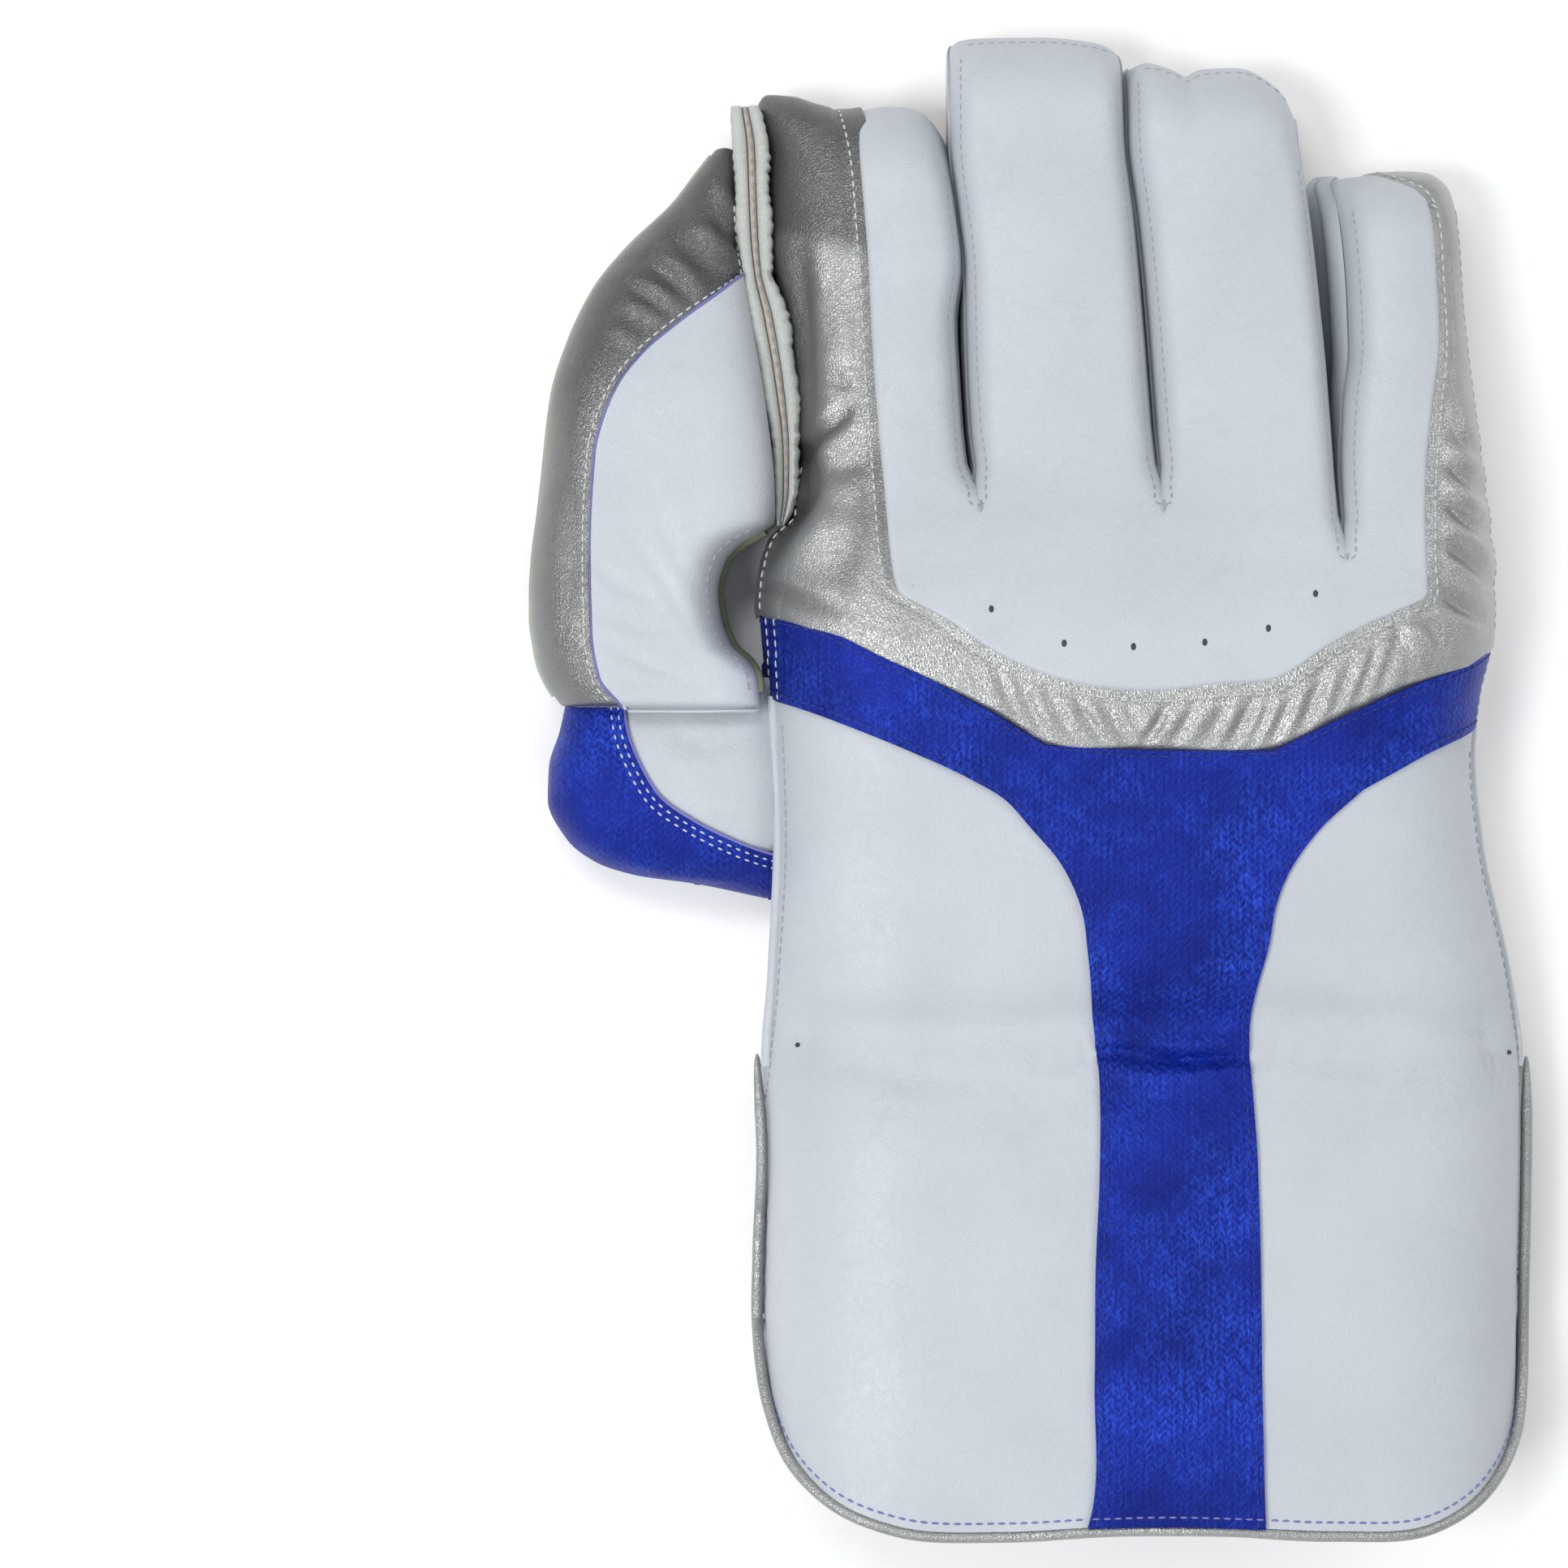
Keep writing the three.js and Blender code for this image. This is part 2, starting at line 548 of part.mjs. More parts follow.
function piping(heightAt) {
  const radius = pipingDiameter / 2;
  const path = new THREE.CatmullRomCurve3(
    pipingLine.map(([x, y], i) => new THREE.Vector3(x, y, heightAt(...cuffEdge[i]))),
    false,
    "catmullrom",
    0,
  );
  const section = new THREE.Shape().absarc(0, 0, radius, 0, 2 * Math.PI);
  const geometry = new THREE.ExtrudeGeometry(section, {
    steps: Math.round(path.getLength() / pipingStep),
    extrudePath: path,
    curveSegments: pipingFacets,
  });
  return solidOf(geometry);
}

const besideSeam = pipingDiameter / 2 + pieceGap / 2;
const backPipingHeight = (x, y) =>
  Math.max(seamHeight + besideSeam, topOf(bodySectionAt(y), x) - backWall / 2);
const palmPipingHeight = (x, y) =>
  Math.min(seamHeight - besideSeam, Math.max(soleOf(bodySectionAt(y), x) + palmWall / 2, besideSeam));

const leather = { color: 0xcdd2d9, roughness: 0.55, metalness: 0 };
const silver = { color: 0xa5a7a6, roughness: 0.35, metalness: 0.6 };
const blue = { color: 0x1432be, roughness: 0.6, metalness: 0 };
const rubber = { color: 0xd0c9c2, roughness: 0.85, metalness: 0 };
const suede = { color: 0xd3d3d0, roughness: 0.95, metalness: 0 };

// The raw edges fill the groove between the thumb stall and the index finger.
const webSeam = loft(
  webSeamRows.map((row) => ({ ...sectionOf(row, webSeamHeight, false), sole: webSeamFoot })),
  webFacets,
)
  .subtract(form.translate(-pieceGap, 0, 0))
  .subtract(stallForm.translate(pieceGap, 0, 0));

const pieces = {
  back_panel: [leather, handBack.intersect(insideWhite).subtract(knife(whiteLine))],
  silver_yoke: [
    silver,
    handBack
      .intersect(aboveBlue)
      .subtract(insideWhite)
      .subtract(knife(whiteLine))
      .subtract(knife(blueTopLine)),
  ],
  blue_yoke: [
    blue,
    handBack
      .subtract(aboveBlue)
      .subtract(thumbSide)
      .subtract(outerSide)
      .subtract(knife(blueTopLine))
      .subtract(knife(blueThumbLine))
      .subtract(knife(blueOuterLine)),
  ],
  cuff_panel_thumb: [leather, handBack.intersect(thumbSide).subtract(knife(blueThumbLine))],
  cuff_panel_outer: [leather, handBack.intersect(outerSide).subtract(knife(blueOuterLine))],
  cuff_piping_back: [silver, piping(backPipingHeight)],
  cuff_piping_palm: [silver, piping(palmPipingHeight)],
  palm_facing: [rubber, palm.intersect(palmFacingZone).subtract(knife(facingLine))],
  wrist_panel: [
    suede,
    palm.intersect(wristZone).subtract(knife(facingLine)).subtract(knife(gussetLine)),
  ],
  cuff_palm_panel: [leather, palm.intersect(cuffPalmZone)],
  thumb_gusset: [
    blue,
    palm
      .intersect(gussetZone)
      .subtract(knife(facingLine))
      .subtract(knife(gussetLine))
      .add(baseShell.intersect(blueBase).subtract(knife(baseLine))),
  ],
  thumb_base_white: [
    leather,
    baseShell.intersect(aboveSeam).subtract(blueBase).subtract(knife(baseLine)),
  ],
  thumb_back: [leather, stallTop.subtract(bandZone).subtract(knife(bandLine))],
  thumb_band: [
    silver,
    stallTop
      .intersect(bandZone)
      .subtract(knife(bandLine))
      .add(stall.intersect(bandZone).intersect(underStrip).subtract(knife(bandLine)))
      .add(stallSole.intersect(underStrip)),
  ],
  thumb_facing: [rubber, stallSole.intersect(slice(facingLowAlong, 3.2, 0, 0))],
  thumb_lip: [leather, stallSole.intersect(slice(1.4, bandLowAlong, 0, 0))],
  web_seam: [rubber, webSeam],
};
for (const name of slitNames)
  pieces[name] = [leather, shell.intersect(aboveSeam).intersect(bandOf(name, 0))];

const group = new THREE.Group();
for (const [name, [finish, solid]] of Object.entries(pieces)) {
  const mesh = wholePiece(solid).getMesh();
  const geometry = new THREE.BufferGeometry();
  geometry.setAttribute("position", new THREE.BufferAttribute(mesh.vertProperties, 3));
  geometry.setIndex(new THREE.BufferAttribute(mesh.triVerts, 1));
  geometry.computeVertexNormals();
  const piece = new THREE.Mesh(geometry, new THREE.MeshStandardMaterial(finish));
  piece.name = name;
  group.add(piece);
}

export default group;
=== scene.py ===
# %% [markdown]
# # A wicketkeeping glove, seen from its back
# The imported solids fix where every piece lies. Here each one is sewn again from leather or rubber:
# a surface worked out with numpy on a grid of two parameters, given a wall, and stitched down.
# Lengths inside the shape functions are millimetres, and a mesh is written in metres.

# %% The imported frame
import math
from functools import partial

import bmesh
import bpy
import numpy as np
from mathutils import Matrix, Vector


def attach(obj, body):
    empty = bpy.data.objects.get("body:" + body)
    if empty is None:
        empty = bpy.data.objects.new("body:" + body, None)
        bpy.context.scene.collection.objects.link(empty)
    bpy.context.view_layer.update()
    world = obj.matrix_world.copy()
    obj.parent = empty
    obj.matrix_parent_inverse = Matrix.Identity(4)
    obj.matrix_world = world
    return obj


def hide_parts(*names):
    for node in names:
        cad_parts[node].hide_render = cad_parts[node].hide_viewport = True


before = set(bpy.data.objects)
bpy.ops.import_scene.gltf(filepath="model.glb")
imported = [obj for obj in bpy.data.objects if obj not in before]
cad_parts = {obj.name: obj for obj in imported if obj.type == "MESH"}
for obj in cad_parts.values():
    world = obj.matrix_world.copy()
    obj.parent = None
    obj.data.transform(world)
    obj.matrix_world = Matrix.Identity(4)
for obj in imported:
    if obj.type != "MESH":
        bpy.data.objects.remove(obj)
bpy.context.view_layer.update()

# %% [markdown]
# ## Where things are
# Places on the glove are given as shares, as a pattern cutter would: along it, 0 is the hem, 1 the
# crease at the wrist, 2 the roots of the fingers and 3 the tip of the middle finger. Across it, 0 is
# the middle, 1 and -1 the edges of hand and cuff, and -2 the thumb's outer edge.

# %% Shares into millimetres
MM = 0.001
CUFF, HAND, FINGER = 108.0, 122.0, 109.3
BODY_WIDTH, THUMB_REACH = 179.3, 49.8
HAND_DEPTH, THUMB_DEPTH, BASE_DEPTH = 46.0, 31.0, 25.0
SEAM = 10.0  # height at which the back meets the palm side
SHOULDER = 30.0
MIDDLE_X = THUMB_REACH / 2
HEM_Y = -(CUFF + HAND + FINGER) / 2


def y_at(along):
    """Height in the plan of a share along the glove: straight lines between the landmarks."""
    steps = [-CUFF, CUFF, CUFF, HAND, FINGER, FINGER]
    return np.interp(along, [-1, 0, 1, 2, 3, 4], HEM_Y + np.cumsum(steps))


def x_at(across):
    """Place across of a share: half widths out to -1, then the thumb's reach."""
    a = np.asarray(across, float)
    half = BODY_WIDTH / 2
    return np.where(a > -1, MIDDLE_X + a * half, MIDDLE_X - half + (a + 1) * THUMB_REACH)


def plan(points):
    """Points given as (across, along) shares, as millimetres in the plan."""
    p = np.array(points, float)
    return np.stack([x_at(p[:, 0]), y_at(p[:, 1])], -1)


print("hem at", round(float(y_at(0)), 1), "mm, fingertip at", round(float(y_at(3)), 1), "mm")


# %% [markdown]
# ## Smooth lines through a few points
# A seam is measured at a handful of points. Straight pieces between them would show as corners on
# leather, so two kinds of cubic carry the line: one that never overshoots, for a width or a height
# that depends on one coordinate, and one that flows freely, for a seam drawn in the plan.

# %% Cubic lines
def hermite(at, knots, values, slopes):
    """Cubic pieces: value and slope are met at each knot."""
    i = np.clip(np.searchsorted(knots, at, side="right") - 1, 0, len(knots) - 2)
    h = knots[i + 1] - knots[i]
    t = (at - knots[i]) / h
    if values.ndim > 1:
        h, t = h[..., None], t[..., None]
    return (
        (1 + 2 * t) * (1 - t) ** 2 * values[i]
        + t * (1 - t) ** 2 * h * slopes[i]
        + t * t * (3 - 2 * t) * values[i + 1]
        + t * t * (t - 1) * h * slopes[i + 1]
    )


def glide(at, knots, values):
    """Through every value without overshoot: each slope is the harmonic mean of its neighbours."""
    k, v = np.asarray(knots, float), np.asarray(values, float)
    step = np.diff(k)
    rise = np.diff(v, axis=0) / (step[:, None] if v.ndim > 1 else step)
    same = rise[:-1] * rise[1:] > 0
    total = np.where(same, rise[:-1] + rise[1:], 1)
    mean = np.where(same, 2 * rise[:-1] * rise[1:] / total, 0)
    slopes = np.concatenate([rise[:1], mean, rise[-1:]])
    return hermite(np.clip(at, k[0], k[-1]), k, v, slopes)


def run_of(points):
    """Length along a line at each of its points."""
    gaps = np.linalg.norm(np.diff(points, axis=0), axis=-1)
    return np.concatenate([[0], np.cumsum(gaps)])


def curve(points, shares):
    """A flowing line through the points, read at shares of its length."""
    p = np.asarray(points, float)
    s = run_of(p)
    if len(p) > 2:
        p = hermite(np.linspace(0, s[-1], 60 * len(p)), s, p, np.gradient(p, s, axis=0))
    d = run_of(p)
    return np.stack([np.interp(np.asarray(shares) * d[-1], d, p[:, k]) for k in range(p.shape[1])], -1)


# %% [markdown]
# A line is read at a list of shares. Where they crowd at an edge, the leather's turn there gets
# enough points without a dense grid elsewhere.

# %% Spacings and directions
def even(count):
    """Shares from 0 to 1 with equal steps."""
    return np.linspace(0, 1, count)


def close_ends(count):
    """Shares that crowd at both ends, where a panel's edge turns: half a cosine wave."""
    return (1 - np.cos(np.pi * even(count))) / 2


def close_end(count):
    """Shares that crowd at the far end only: a quarter of a sine wave."""
    return np.sin(np.pi / 2 * even(count))


def rows_at(low, high, count, spacing=even):
    """Heights in the plan between two shares along the glove."""
    return y_at(low) + (y_at(high) - y_at(low)) * spacing(count)


def unit(vectors):
    """The vectors at length 1."""
    return vectors / np.maximum(np.linalg.norm(vectors, axis=-1, keepdims=True), 1e-9)


def circle(count):
    """Points spread evenly over a circle of radius 1."""
    turn = np.arange(count) * 2 * np.pi / count
    return np.stack([np.cos(turn), np.sin(turn)], -1)


# %% [markdown]
# ## The form under the leather
# The real glove is blocked round a hand: flat underneath, a broad back that climbs steeply from its
# seam and then levels out. One formula gives that height at any point of the plan, so every panel
# that lies on it fits its neighbours by itself.

# %% Heights of hand, thumb and thumb base
def shoulder(share):
    """Rises from 0 to 1, upright at first and level at the end: a quarter of a superellipse."""
    left = 1 - np.clip(share, 0, 1)
    return (1 - left**2.2) ** (1 / 2.2)


def form_of(rows, depth):
    """A table of shares as millimetres: place along, both edges, crest, and both rises."""
    r = np.array(rows, float)
    return np.column_stack(
        [y_at(r[:, 0]), x_at(r[:, 1]), x_at(r[:, 2]), r[:, 3] * depth, r[:, 4] * SHOULDER, r[:, 5] * SHOULDER]
    )


def section(form, y):
    """Left edge, right edge, crest, left rise and right rise at y."""
    return np.moveaxis(glide(y, form[:, 0], form[:, 1:]), -1, 0)


def dome(form, x, y, kept=0.0):
    """Seam height plus the crest's share: the shoulder from the left times the one from the right,
    of which a share can be kept."""
    left, right, crest, rise_left, rise_right = section(form, y)
    from_right = kept + (1 - kept) * shoulder((right - x) / rise_right)
    return SEAM + (crest - SEAM) * shoulder((x - left) / rise_left) * from_right


# %% [markdown]
# Three tables hold the forms: hand and cuff, the thumb stall and the thumb's base. A row is one cross
# section, in shares, and the cubic that never overshoots fills in between the rows.

# %% Tables of cross sections
# along, left, right, crest, left rise, right rise
back_form = form_of(
    [
        (-0.13, -0.967, 0.967, 0.98, 1.25, 1.25),
        (0.31, -0.967, 0.955, 0.97, 1.25, 1.25),
        (0.78, -0.957, 0.965, 0.92, 1.2, 1.2),
        (0.975, -0.973, 0.967, 0.84, 1.15, 1.15),
        (1.14, -0.957, 0.935, 0.87, 1.1, 1.1),
        (1.39, -0.943, 0.861, 0.94, 1.1, 1.1),
        (1.55, -0.951, 0.841, 0.97, 1.05, 1.05),
        (1.66, -0.959, 0.857, 1.0, 1.05, 1.05),
        (1.75, -0.969, 0.882, 1.0, 1.0, 1.0),
        (1.83, -0.978, 0.884, 0.97, 0.95, 0.95),
        (1.895, -0.971, 0.884, 0.93, 0.9, 0.8),
        (1.945, -0.951, 0.875, 0.9, 0.85, 0.65),
        (2.0, -0.898, 0.865, 0.86, 0.78, 0.5),
        (2.126, -0.875, 0.845, 0.79, 0.7, 0.37),
        (2.28, -0.885, 0.822, 0.73, 0.67, 0.33),
        (2.435, -0.904, 0.804, 0.68, 0.66, 0.32),
        (2.557, -0.94, 0.798, 0.645, 0.69, 0.34),
        (2.656, -0.944, 0.794, 0.61, 0.7, 0.36),
        (2.745, -0.945, 0.79, 0.58, 0.68, 0.36),
        (2.86, -0.975, 0.79, 0.56, 0.6, 0.36),
        (3.0, -0.975, 0.79, 0.53, 0.6, 0.36),
    ],
    HAND_DEPTH,
)
stall_form = form_of(
    [
        (1.631, -1.846, -0.982, 0.97, 0.5, 0.3),
        (1.682, -1.93, -0.986, 1.0, 0.5, 0.3),
        (1.717, -1.967, -1.015, 1.0, 0.5, 0.3),
        (1.747, -1.982, -1.092, 1.0, 0.48, 0.3),
        (1.805, -2.0, -1.147, 1.0, 0.46, 0.3),
        (1.853, -2.0, -1.162, 1.0, 0.45, 0.3),
        (1.907, -1.993, -1.132, 1.0, 0.43, 0.3),
        (1.942, -1.985, -1.062, 1.0, 0.42, 0.35),
        (1.963, -1.978, -0.982, 1.0, 0.42, 0.4),
        (1.982, -1.971, -0.943, 1.0, 0.42, 0.45),
        (2.052, -1.952, -0.945, 0.99, 0.42, 0.5),
        (2.252, -1.901, -0.973, 0.96, 0.48, 0.5),
        (2.362, -1.827, -0.996, 0.92, 0.52, 0.5),
        (2.475, -1.706, -1.033, 0.86, 0.56, 0.45),
        (2.557, -1.562, -1.059, 0.8, 0.55, 0.4),
        (2.653, -1.342, -1.074, 0.7, 0.4, 0.25),
        (2.718, -1.232, -1.081, 0.6, 0.2, 0.12),
        (2.765, -1.151, -1.081, 0.5, 0.1, 0.08),
    ],
    THUMB_DEPTH,
)
base_form = form_of(
    [
        (1.28, -0.961, -0.86, 0.52, 0.5, 0.3),
        (1.307, -1.239, -0.86, 0.64, 0.5, 0.3),
        (1.325, -1.54, -0.86, 0.74, 0.45, 0.3),
        (1.349, -1.717, -0.86, 0.84, 0.4, 0.3),
        (1.391, -1.846, -0.86, 0.94, 0.4, 0.3),
        (1.462, -1.93, -0.86, 1.0, 0.4, 0.3),
        (1.522, -1.925, -0.86, 1.0, 0.4, 0.3),
        (1.59, -1.875, -0.86, 0.96, 0.4, 0.3),
        (1.7, -1.82, -0.86, 0.92, 0.4, 0.3),
    ],
    BASE_DEPTH,
)


def body_left(y):
    """The left edge of cuff, hand and index finger."""
    return section(back_form, y)[0]


def body_right(y):
    """The right edge of cuff, hand and little finger."""
    return section(back_form, y)[1]


knuckles = y_at(1.7)
print("width at the knuckles", round(float(body_right(knuckles) - body_left(knuckles)), 1), "mm")


# %% [markdown]
# The fingertips end in a soft outline that differs from finger to finger. Read as one line across
# the glove, it tells how far each column of a panel still has to go, and the height falls to the
# seam along it.

# %% Fingertips and the slits between them
tip_points = plan(
    [
        (-1.0, 2.82), (-0.985, 2.85), (-0.955, 2.875), (-0.9, 2.871), (-0.83, 2.852), (-0.765, 2.842),
        (-0.72, 2.846), (-0.66, 2.854), (-0.61, 2.853), (-0.575, 2.842), (-0.534, 2.805), (-0.503, 2.75),
    ]
)
tip_points_middle = plan(
    [
        (-0.498, 2.93), (-0.488, 2.965), (-0.459, 2.997), (-0.357, 3.0), (-0.244, 3.0), (-0.152, 2.993),
        (-0.097, 2.983), (-0.066, 2.955), (-0.05, 2.888),
    ]
)
tip_points_ring = plan(
    [
        (-0.046, 2.9), (-0.026, 2.933), (0.011, 2.947), (0.062, 2.935), (0.111, 2.918), (0.158, 2.934),
        (0.24, 2.936), (0.32, 2.905), (0.361, 2.858), (0.391, 2.77), (0.4, 2.74),
    ]
)
tip_points_little = plan(
    [
        (0.455, 2.69), (0.475, 2.712), (0.51, 2.698), (0.55, 2.7), (0.6, 2.708), (0.669, 2.71),
        (0.72, 2.708), (0.765, 2.69), (0.787, 2.655), (0.798, 2.6), (0.81, 2.5),
    ]
)
TIPS = [tip_points, tip_points_middle, tip_points_ring, tip_points_little]
TIP_RISE = 17.0


def tip_y(finger, x):
    """How far up a finger reaches at x."""
    return glide(x, TIPS[finger][:, 0], TIPS[finger][:, 1])


# %% [markdown]
# Between two fingers the leather is cut. Each slit has two edges of its own, because the gap between
# them widens and closes along its length.

# %% The slits' edges
def across_at(line):
    """A line of the plan as a function: place across for a height, upright beyond its ends."""
    return lambda y: glide(y, line[:, 1], line[:, 0])


def edge_line(points):
    """A finger's edge as such a function, from shares."""
    return across_at(plan(points))


slit_edges = {
    "index right": edge_line(
        [(-0.432, 2.0), (-0.441, 2.015), (-0.4586, 2.06), (-0.479, 2.28), (-0.485, 2.391), (-0.468, 2.508),
         (-0.48, 2.612), (-0.4985, 2.745)]
    ),
    "middle left": edge_line(
        [(-0.432, 2.0), (-0.432, 2.02), (-0.448, 2.171), (-0.4566, 2.347), (-0.459, 2.502), (-0.474, 2.612),
         (-0.493, 2.767), (-0.493, 2.943)]
    ),
    "middle right": edge_line(
        [(0.0215, 2.0), (0.0165, 2.02), (0.005, 2.171), (-0.0153, 2.435), (-0.0316, 2.612), (-0.052, 2.777),
         (-0.056, 2.888)]
    ),
    "ring left": edge_line(
        [(0.0215, 2.0), (0.0265, 2.02), (0.0185, 2.171), (-0.001, 2.435), (-0.0205, 2.612), (-0.042, 2.777),
         (-0.042, 2.909)]
    ),
    "ring right": edge_line(
        [(0.471, 1.901), (0.465, 1.925), (0.461, 2.06), (0.448, 2.28), (0.434, 2.435), (0.414, 2.612), (0.391, 2.768)]
    ),
    "little left": edge_line(
        [(0.471, 1.901), (0.479, 1.93), (0.479, 2.06), (0.491, 2.215), (0.51, 2.336), (0.508, 2.435),
         (0.494, 2.612), (0.478, 2.71)]
    ),
}
SLIT_END = {1: y_at(2.0), 2: y_at(2.0), 3: y_at(1.901)}
print("middle finger's tip at y =", round(float(tip_y(1, x_at(-0.3))), 1), "mm")

# %% [markdown]
# ## Seams in the plan
# These are the lines along which the panels meet, each from one end to the other.

# %% Seam lines
white_left = plan(
    [(-0.62, 1.826), (-0.64, 1.842), (-0.65, 1.87), (-0.661, 1.936), (-0.671, 2.06), (-0.685, 2.215), (-0.696, 2.369),
     (-0.704, 2.502), (-0.714, 2.612), (-0.728, 2.745), (-0.753, 2.844)]
)
white_bottom = plan(
    [(-0.62, 1.826), (-0.514, 1.783), (-0.379, 1.718), (-0.218, 1.673), (-0.083, 1.658), (0.026, 1.658),
     (0.158, 1.669), (0.289, 1.678), (0.428, 1.742), (0.655, 1.822)]
)
white_right = plan(
    [(0.655, 1.822), (0.667, 1.84), (0.668, 1.906), (0.677, 2.06), (0.698, 2.215), (0.716, 2.336), (0.712, 2.48),
     (0.704, 2.6), (0.697, 2.632)]
)
white_little_top = plan([(0.697, 2.632), (0.669, 2.657), (0.62, 2.674), (0.575, 2.694), (0.53, 2.706), (0.47, 2.72)])
blue_top = plan(
    [(-0.975, 1.808), (-0.822, 1.777), (-0.685, 1.724), (-0.497, 1.657), (-0.367, 1.604),
     (-0.275, 1.562), (-0.03, 1.553), (0.289, 1.552), (0.491, 1.624), (0.63, 1.669), (0.757, 1.705), (0.884, 1.751)]
)
blue_thumb = plan(
    [(-0.169, 0.011), (-0.164, 0.053), (-0.152, 0.331), (-0.148, 0.554), (-0.136, 0.776), (-0.136, 0.978),
     (-0.148, 1.06), (-0.164, 1.178), (-0.183, 1.267), (-0.232, 1.345), (-0.312, 1.415), (-0.367, 1.46),
     (-0.465, 1.504), (-0.596, 1.549), (-0.726, 1.589), (-0.849, 1.625), (-0.959, 1.654)]
)
blue_outer = plan(
    [(0.267, 0.008), (0.267, 0.063), (0.26, 0.331), (0.256, 0.666), (0.246, 0.91), (0.24, 1.019), (0.252, 1.109),
     (0.281, 1.198), (0.299, 1.276), (0.32, 1.319), (0.399, 1.406), (0.508, 1.481), (0.671, 1.547), (0.851, 1.603)]
)
hem_left = plan(
    [(-0.998, 0.42), (-0.971, 0.242), (-0.916, 0.141), (-0.81, 0.063), (-0.649, 0.014), (-0.379, 0.002),
     (-0.169, 0.011)]
)
hem_right = plan(
    [(0.267, 0.008), (0.428, 0.003), (0.698, 0.019), (0.83, 0.075), (0.939, 0.186), (0.98, 0.331), (0.983, 0.42)]
)
hem_middle = plan([(-0.169, 0.011), (0.05, 0.014), (0.267, 0.008)])
facing_seam = plan(
    [(-0.173, 0.849), (-0.234, 1.03), (-0.275, 1.067), (-0.387, 1.262), (-0.489, 1.442), (-0.489, 1.622),
     (-0.52, 1.742), (-0.612, 1.892), (-0.755, 2.027), (-0.847, 2.05), (-0.885, 2.06)]
)
gusset_seam = plan([(-0.275, 1.067), (-0.438, 1.15), (-0.642, 1.24), (-0.847, 1.274), (-0.955, 1.262)])
band_seam = plan(
    [(-1.52, 1.6), (-1.577, 1.631), (-1.688, 1.687), (-1.724, 1.771), (-1.732, 1.924), (-1.71, 2.114),
     (-1.684, 2.168), (-1.61, 2.252), (-1.489, 2.324), (-1.316, 2.391), (-1.158, 2.446), (-1.062, 2.485),
     (-1.036, 2.497)]
)
base_seam = plan(
    [(-1.577, 1.68), (-1.577, 1.652), (-1.555, 1.58), (-1.496, 1.522), (-1.412, 1.468), (-1.265, 1.426),
     (-1.092, 1.391), (-0.953, 1.364)]
)
print("seam below the white", round(float(run_of(white_bottom)[-1]), 1), "mm long")


# %% [markdown]
# ## From grids to meshes
# A panel is a grid of points. Two tools shape grids: a patch between four border lines, and a strip
# between two. Each point then gets its height, is pushed out along the surface by its place in the
# stack of leathers, and the sheet gets a wall.

# %% Grids
WELD = 0.004  # points closer than this become one
PANEL_CREASE, TUBE_CREASE = 50, 60  # degrees: sharper edges stay sharp in the shading


def patch(bottom, top, left, right, across, along):
    """Between four lines: the two ruled surfaces added, less the flat one through the corners."""
    b, t = curve(bottom, across)[None], curve(top, across)[None]
    l, r = curve(left, along)[:, None], curve(right, along)[:, None]
    u, v = np.asarray(across)[None, :, None], np.asarray(along)[:, None, None]
    corners = (1 - u) * (1 - v) * b[:, :1] + u * (1 - v) * b[:, -1:] + (1 - u) * v * t[:, :1] + u * v * t[:, -1:]
    return (1 - v) * b + v * t + (1 - u) * l + u * r - corners


def between(first, second, shares):
    """Straight rulings from one line to another with as many points."""
    s = np.asarray(shares)[None, :, None]
    return first[:, None] * (1 - s) + second[:, None] * s


def ruled(left, right, y, shares):
    """A plan grid of level rows, each running from its left end to its right one."""
    x = left[:, None] + (right - left)[:, None] * shares
    return np.stack([x, np.repeat(y[:, None], len(shares), 1)], -1)


def up_to(top_of, edge_left, edge_right, low, shares, rows):
    """Rows from a level up to a curved end, between two leaning edges. Place across depends on
    height and height on place across, so both are worked out in turn until they agree."""
    y = low + np.zeros((len(rows), len(shares)))
    for _ in range(8):
        x = edge_left(y) + (edge_right(y) - edge_left(y)) * shares
        y = low + (top_of(x) - low) * rows[:, None]
    return x, y


def raised(flat, height):
    """A plan grid with its heights as third coordinate."""
    return np.concatenate([flat, np.asarray(height)[..., None]], -1)


def facing_out(grid):
    """Unit normals: the cross product of the grid's two directions."""
    return unit(np.cross(np.gradient(grid, axis=1), np.gradient(grid, axis=0)))


def pushed(grid, distance):
    """Every point moved along its own normal."""
    return grid + facing_out(grid) * np.asarray(distance)[..., None]


def border_first(grid, side):
    """The grid turned so that the named border becomes its first column."""
    if side in ("bottom", "top"):
        return (grid if side == "bottom" else grid[::-1]).swapaxes(0, 1)
    return grid if side == "left" else grid[:, ::-1]


def run_inwards(grid):
    """Length from a grid's first column along each of its rows."""
    gaps = np.linalg.norm(np.diff(grid, axis=1), axis=-1)
    return np.concatenate([np.zeros((len(grid), 1)), np.cumsum(gaps, axis=1)], axis=1)


def depth_in(grid, sides):
    """Distance of each point from the nearest of the named borders, measured over the surface."""
    found = np.full(grid.shape[:2], 1e3)
    for side in sides:
        run = run_inwards(border_first(grid, side))
        run = {"left": run, "right": run[:, ::-1], "bottom": run.T, "top": run.T[::-1]}[side]
        found = np.minimum(found, run)
    return found


def turned_edge(grid, lift, sides, width=1.6):
    """How far a panel stands off: its full lift inside, falling to a third of it at the sewn borders."""
    return lift * (0.3 + 0.7 * shoulder(depth_in(grid, sides) / width))


# %% [markdown]
# A grid becomes a mesh of quads. Solidify then gives the leather its thickness, inwards, and a small
# bevel rounds the cut edge: less work than modelling the inside, and the same all round.

# %% Meshes and walls
def meet(one, other):
    """Turns two borders into the one line halfway between them, so that they weld."""
    one[:] = other[:] = (one + other) / 2


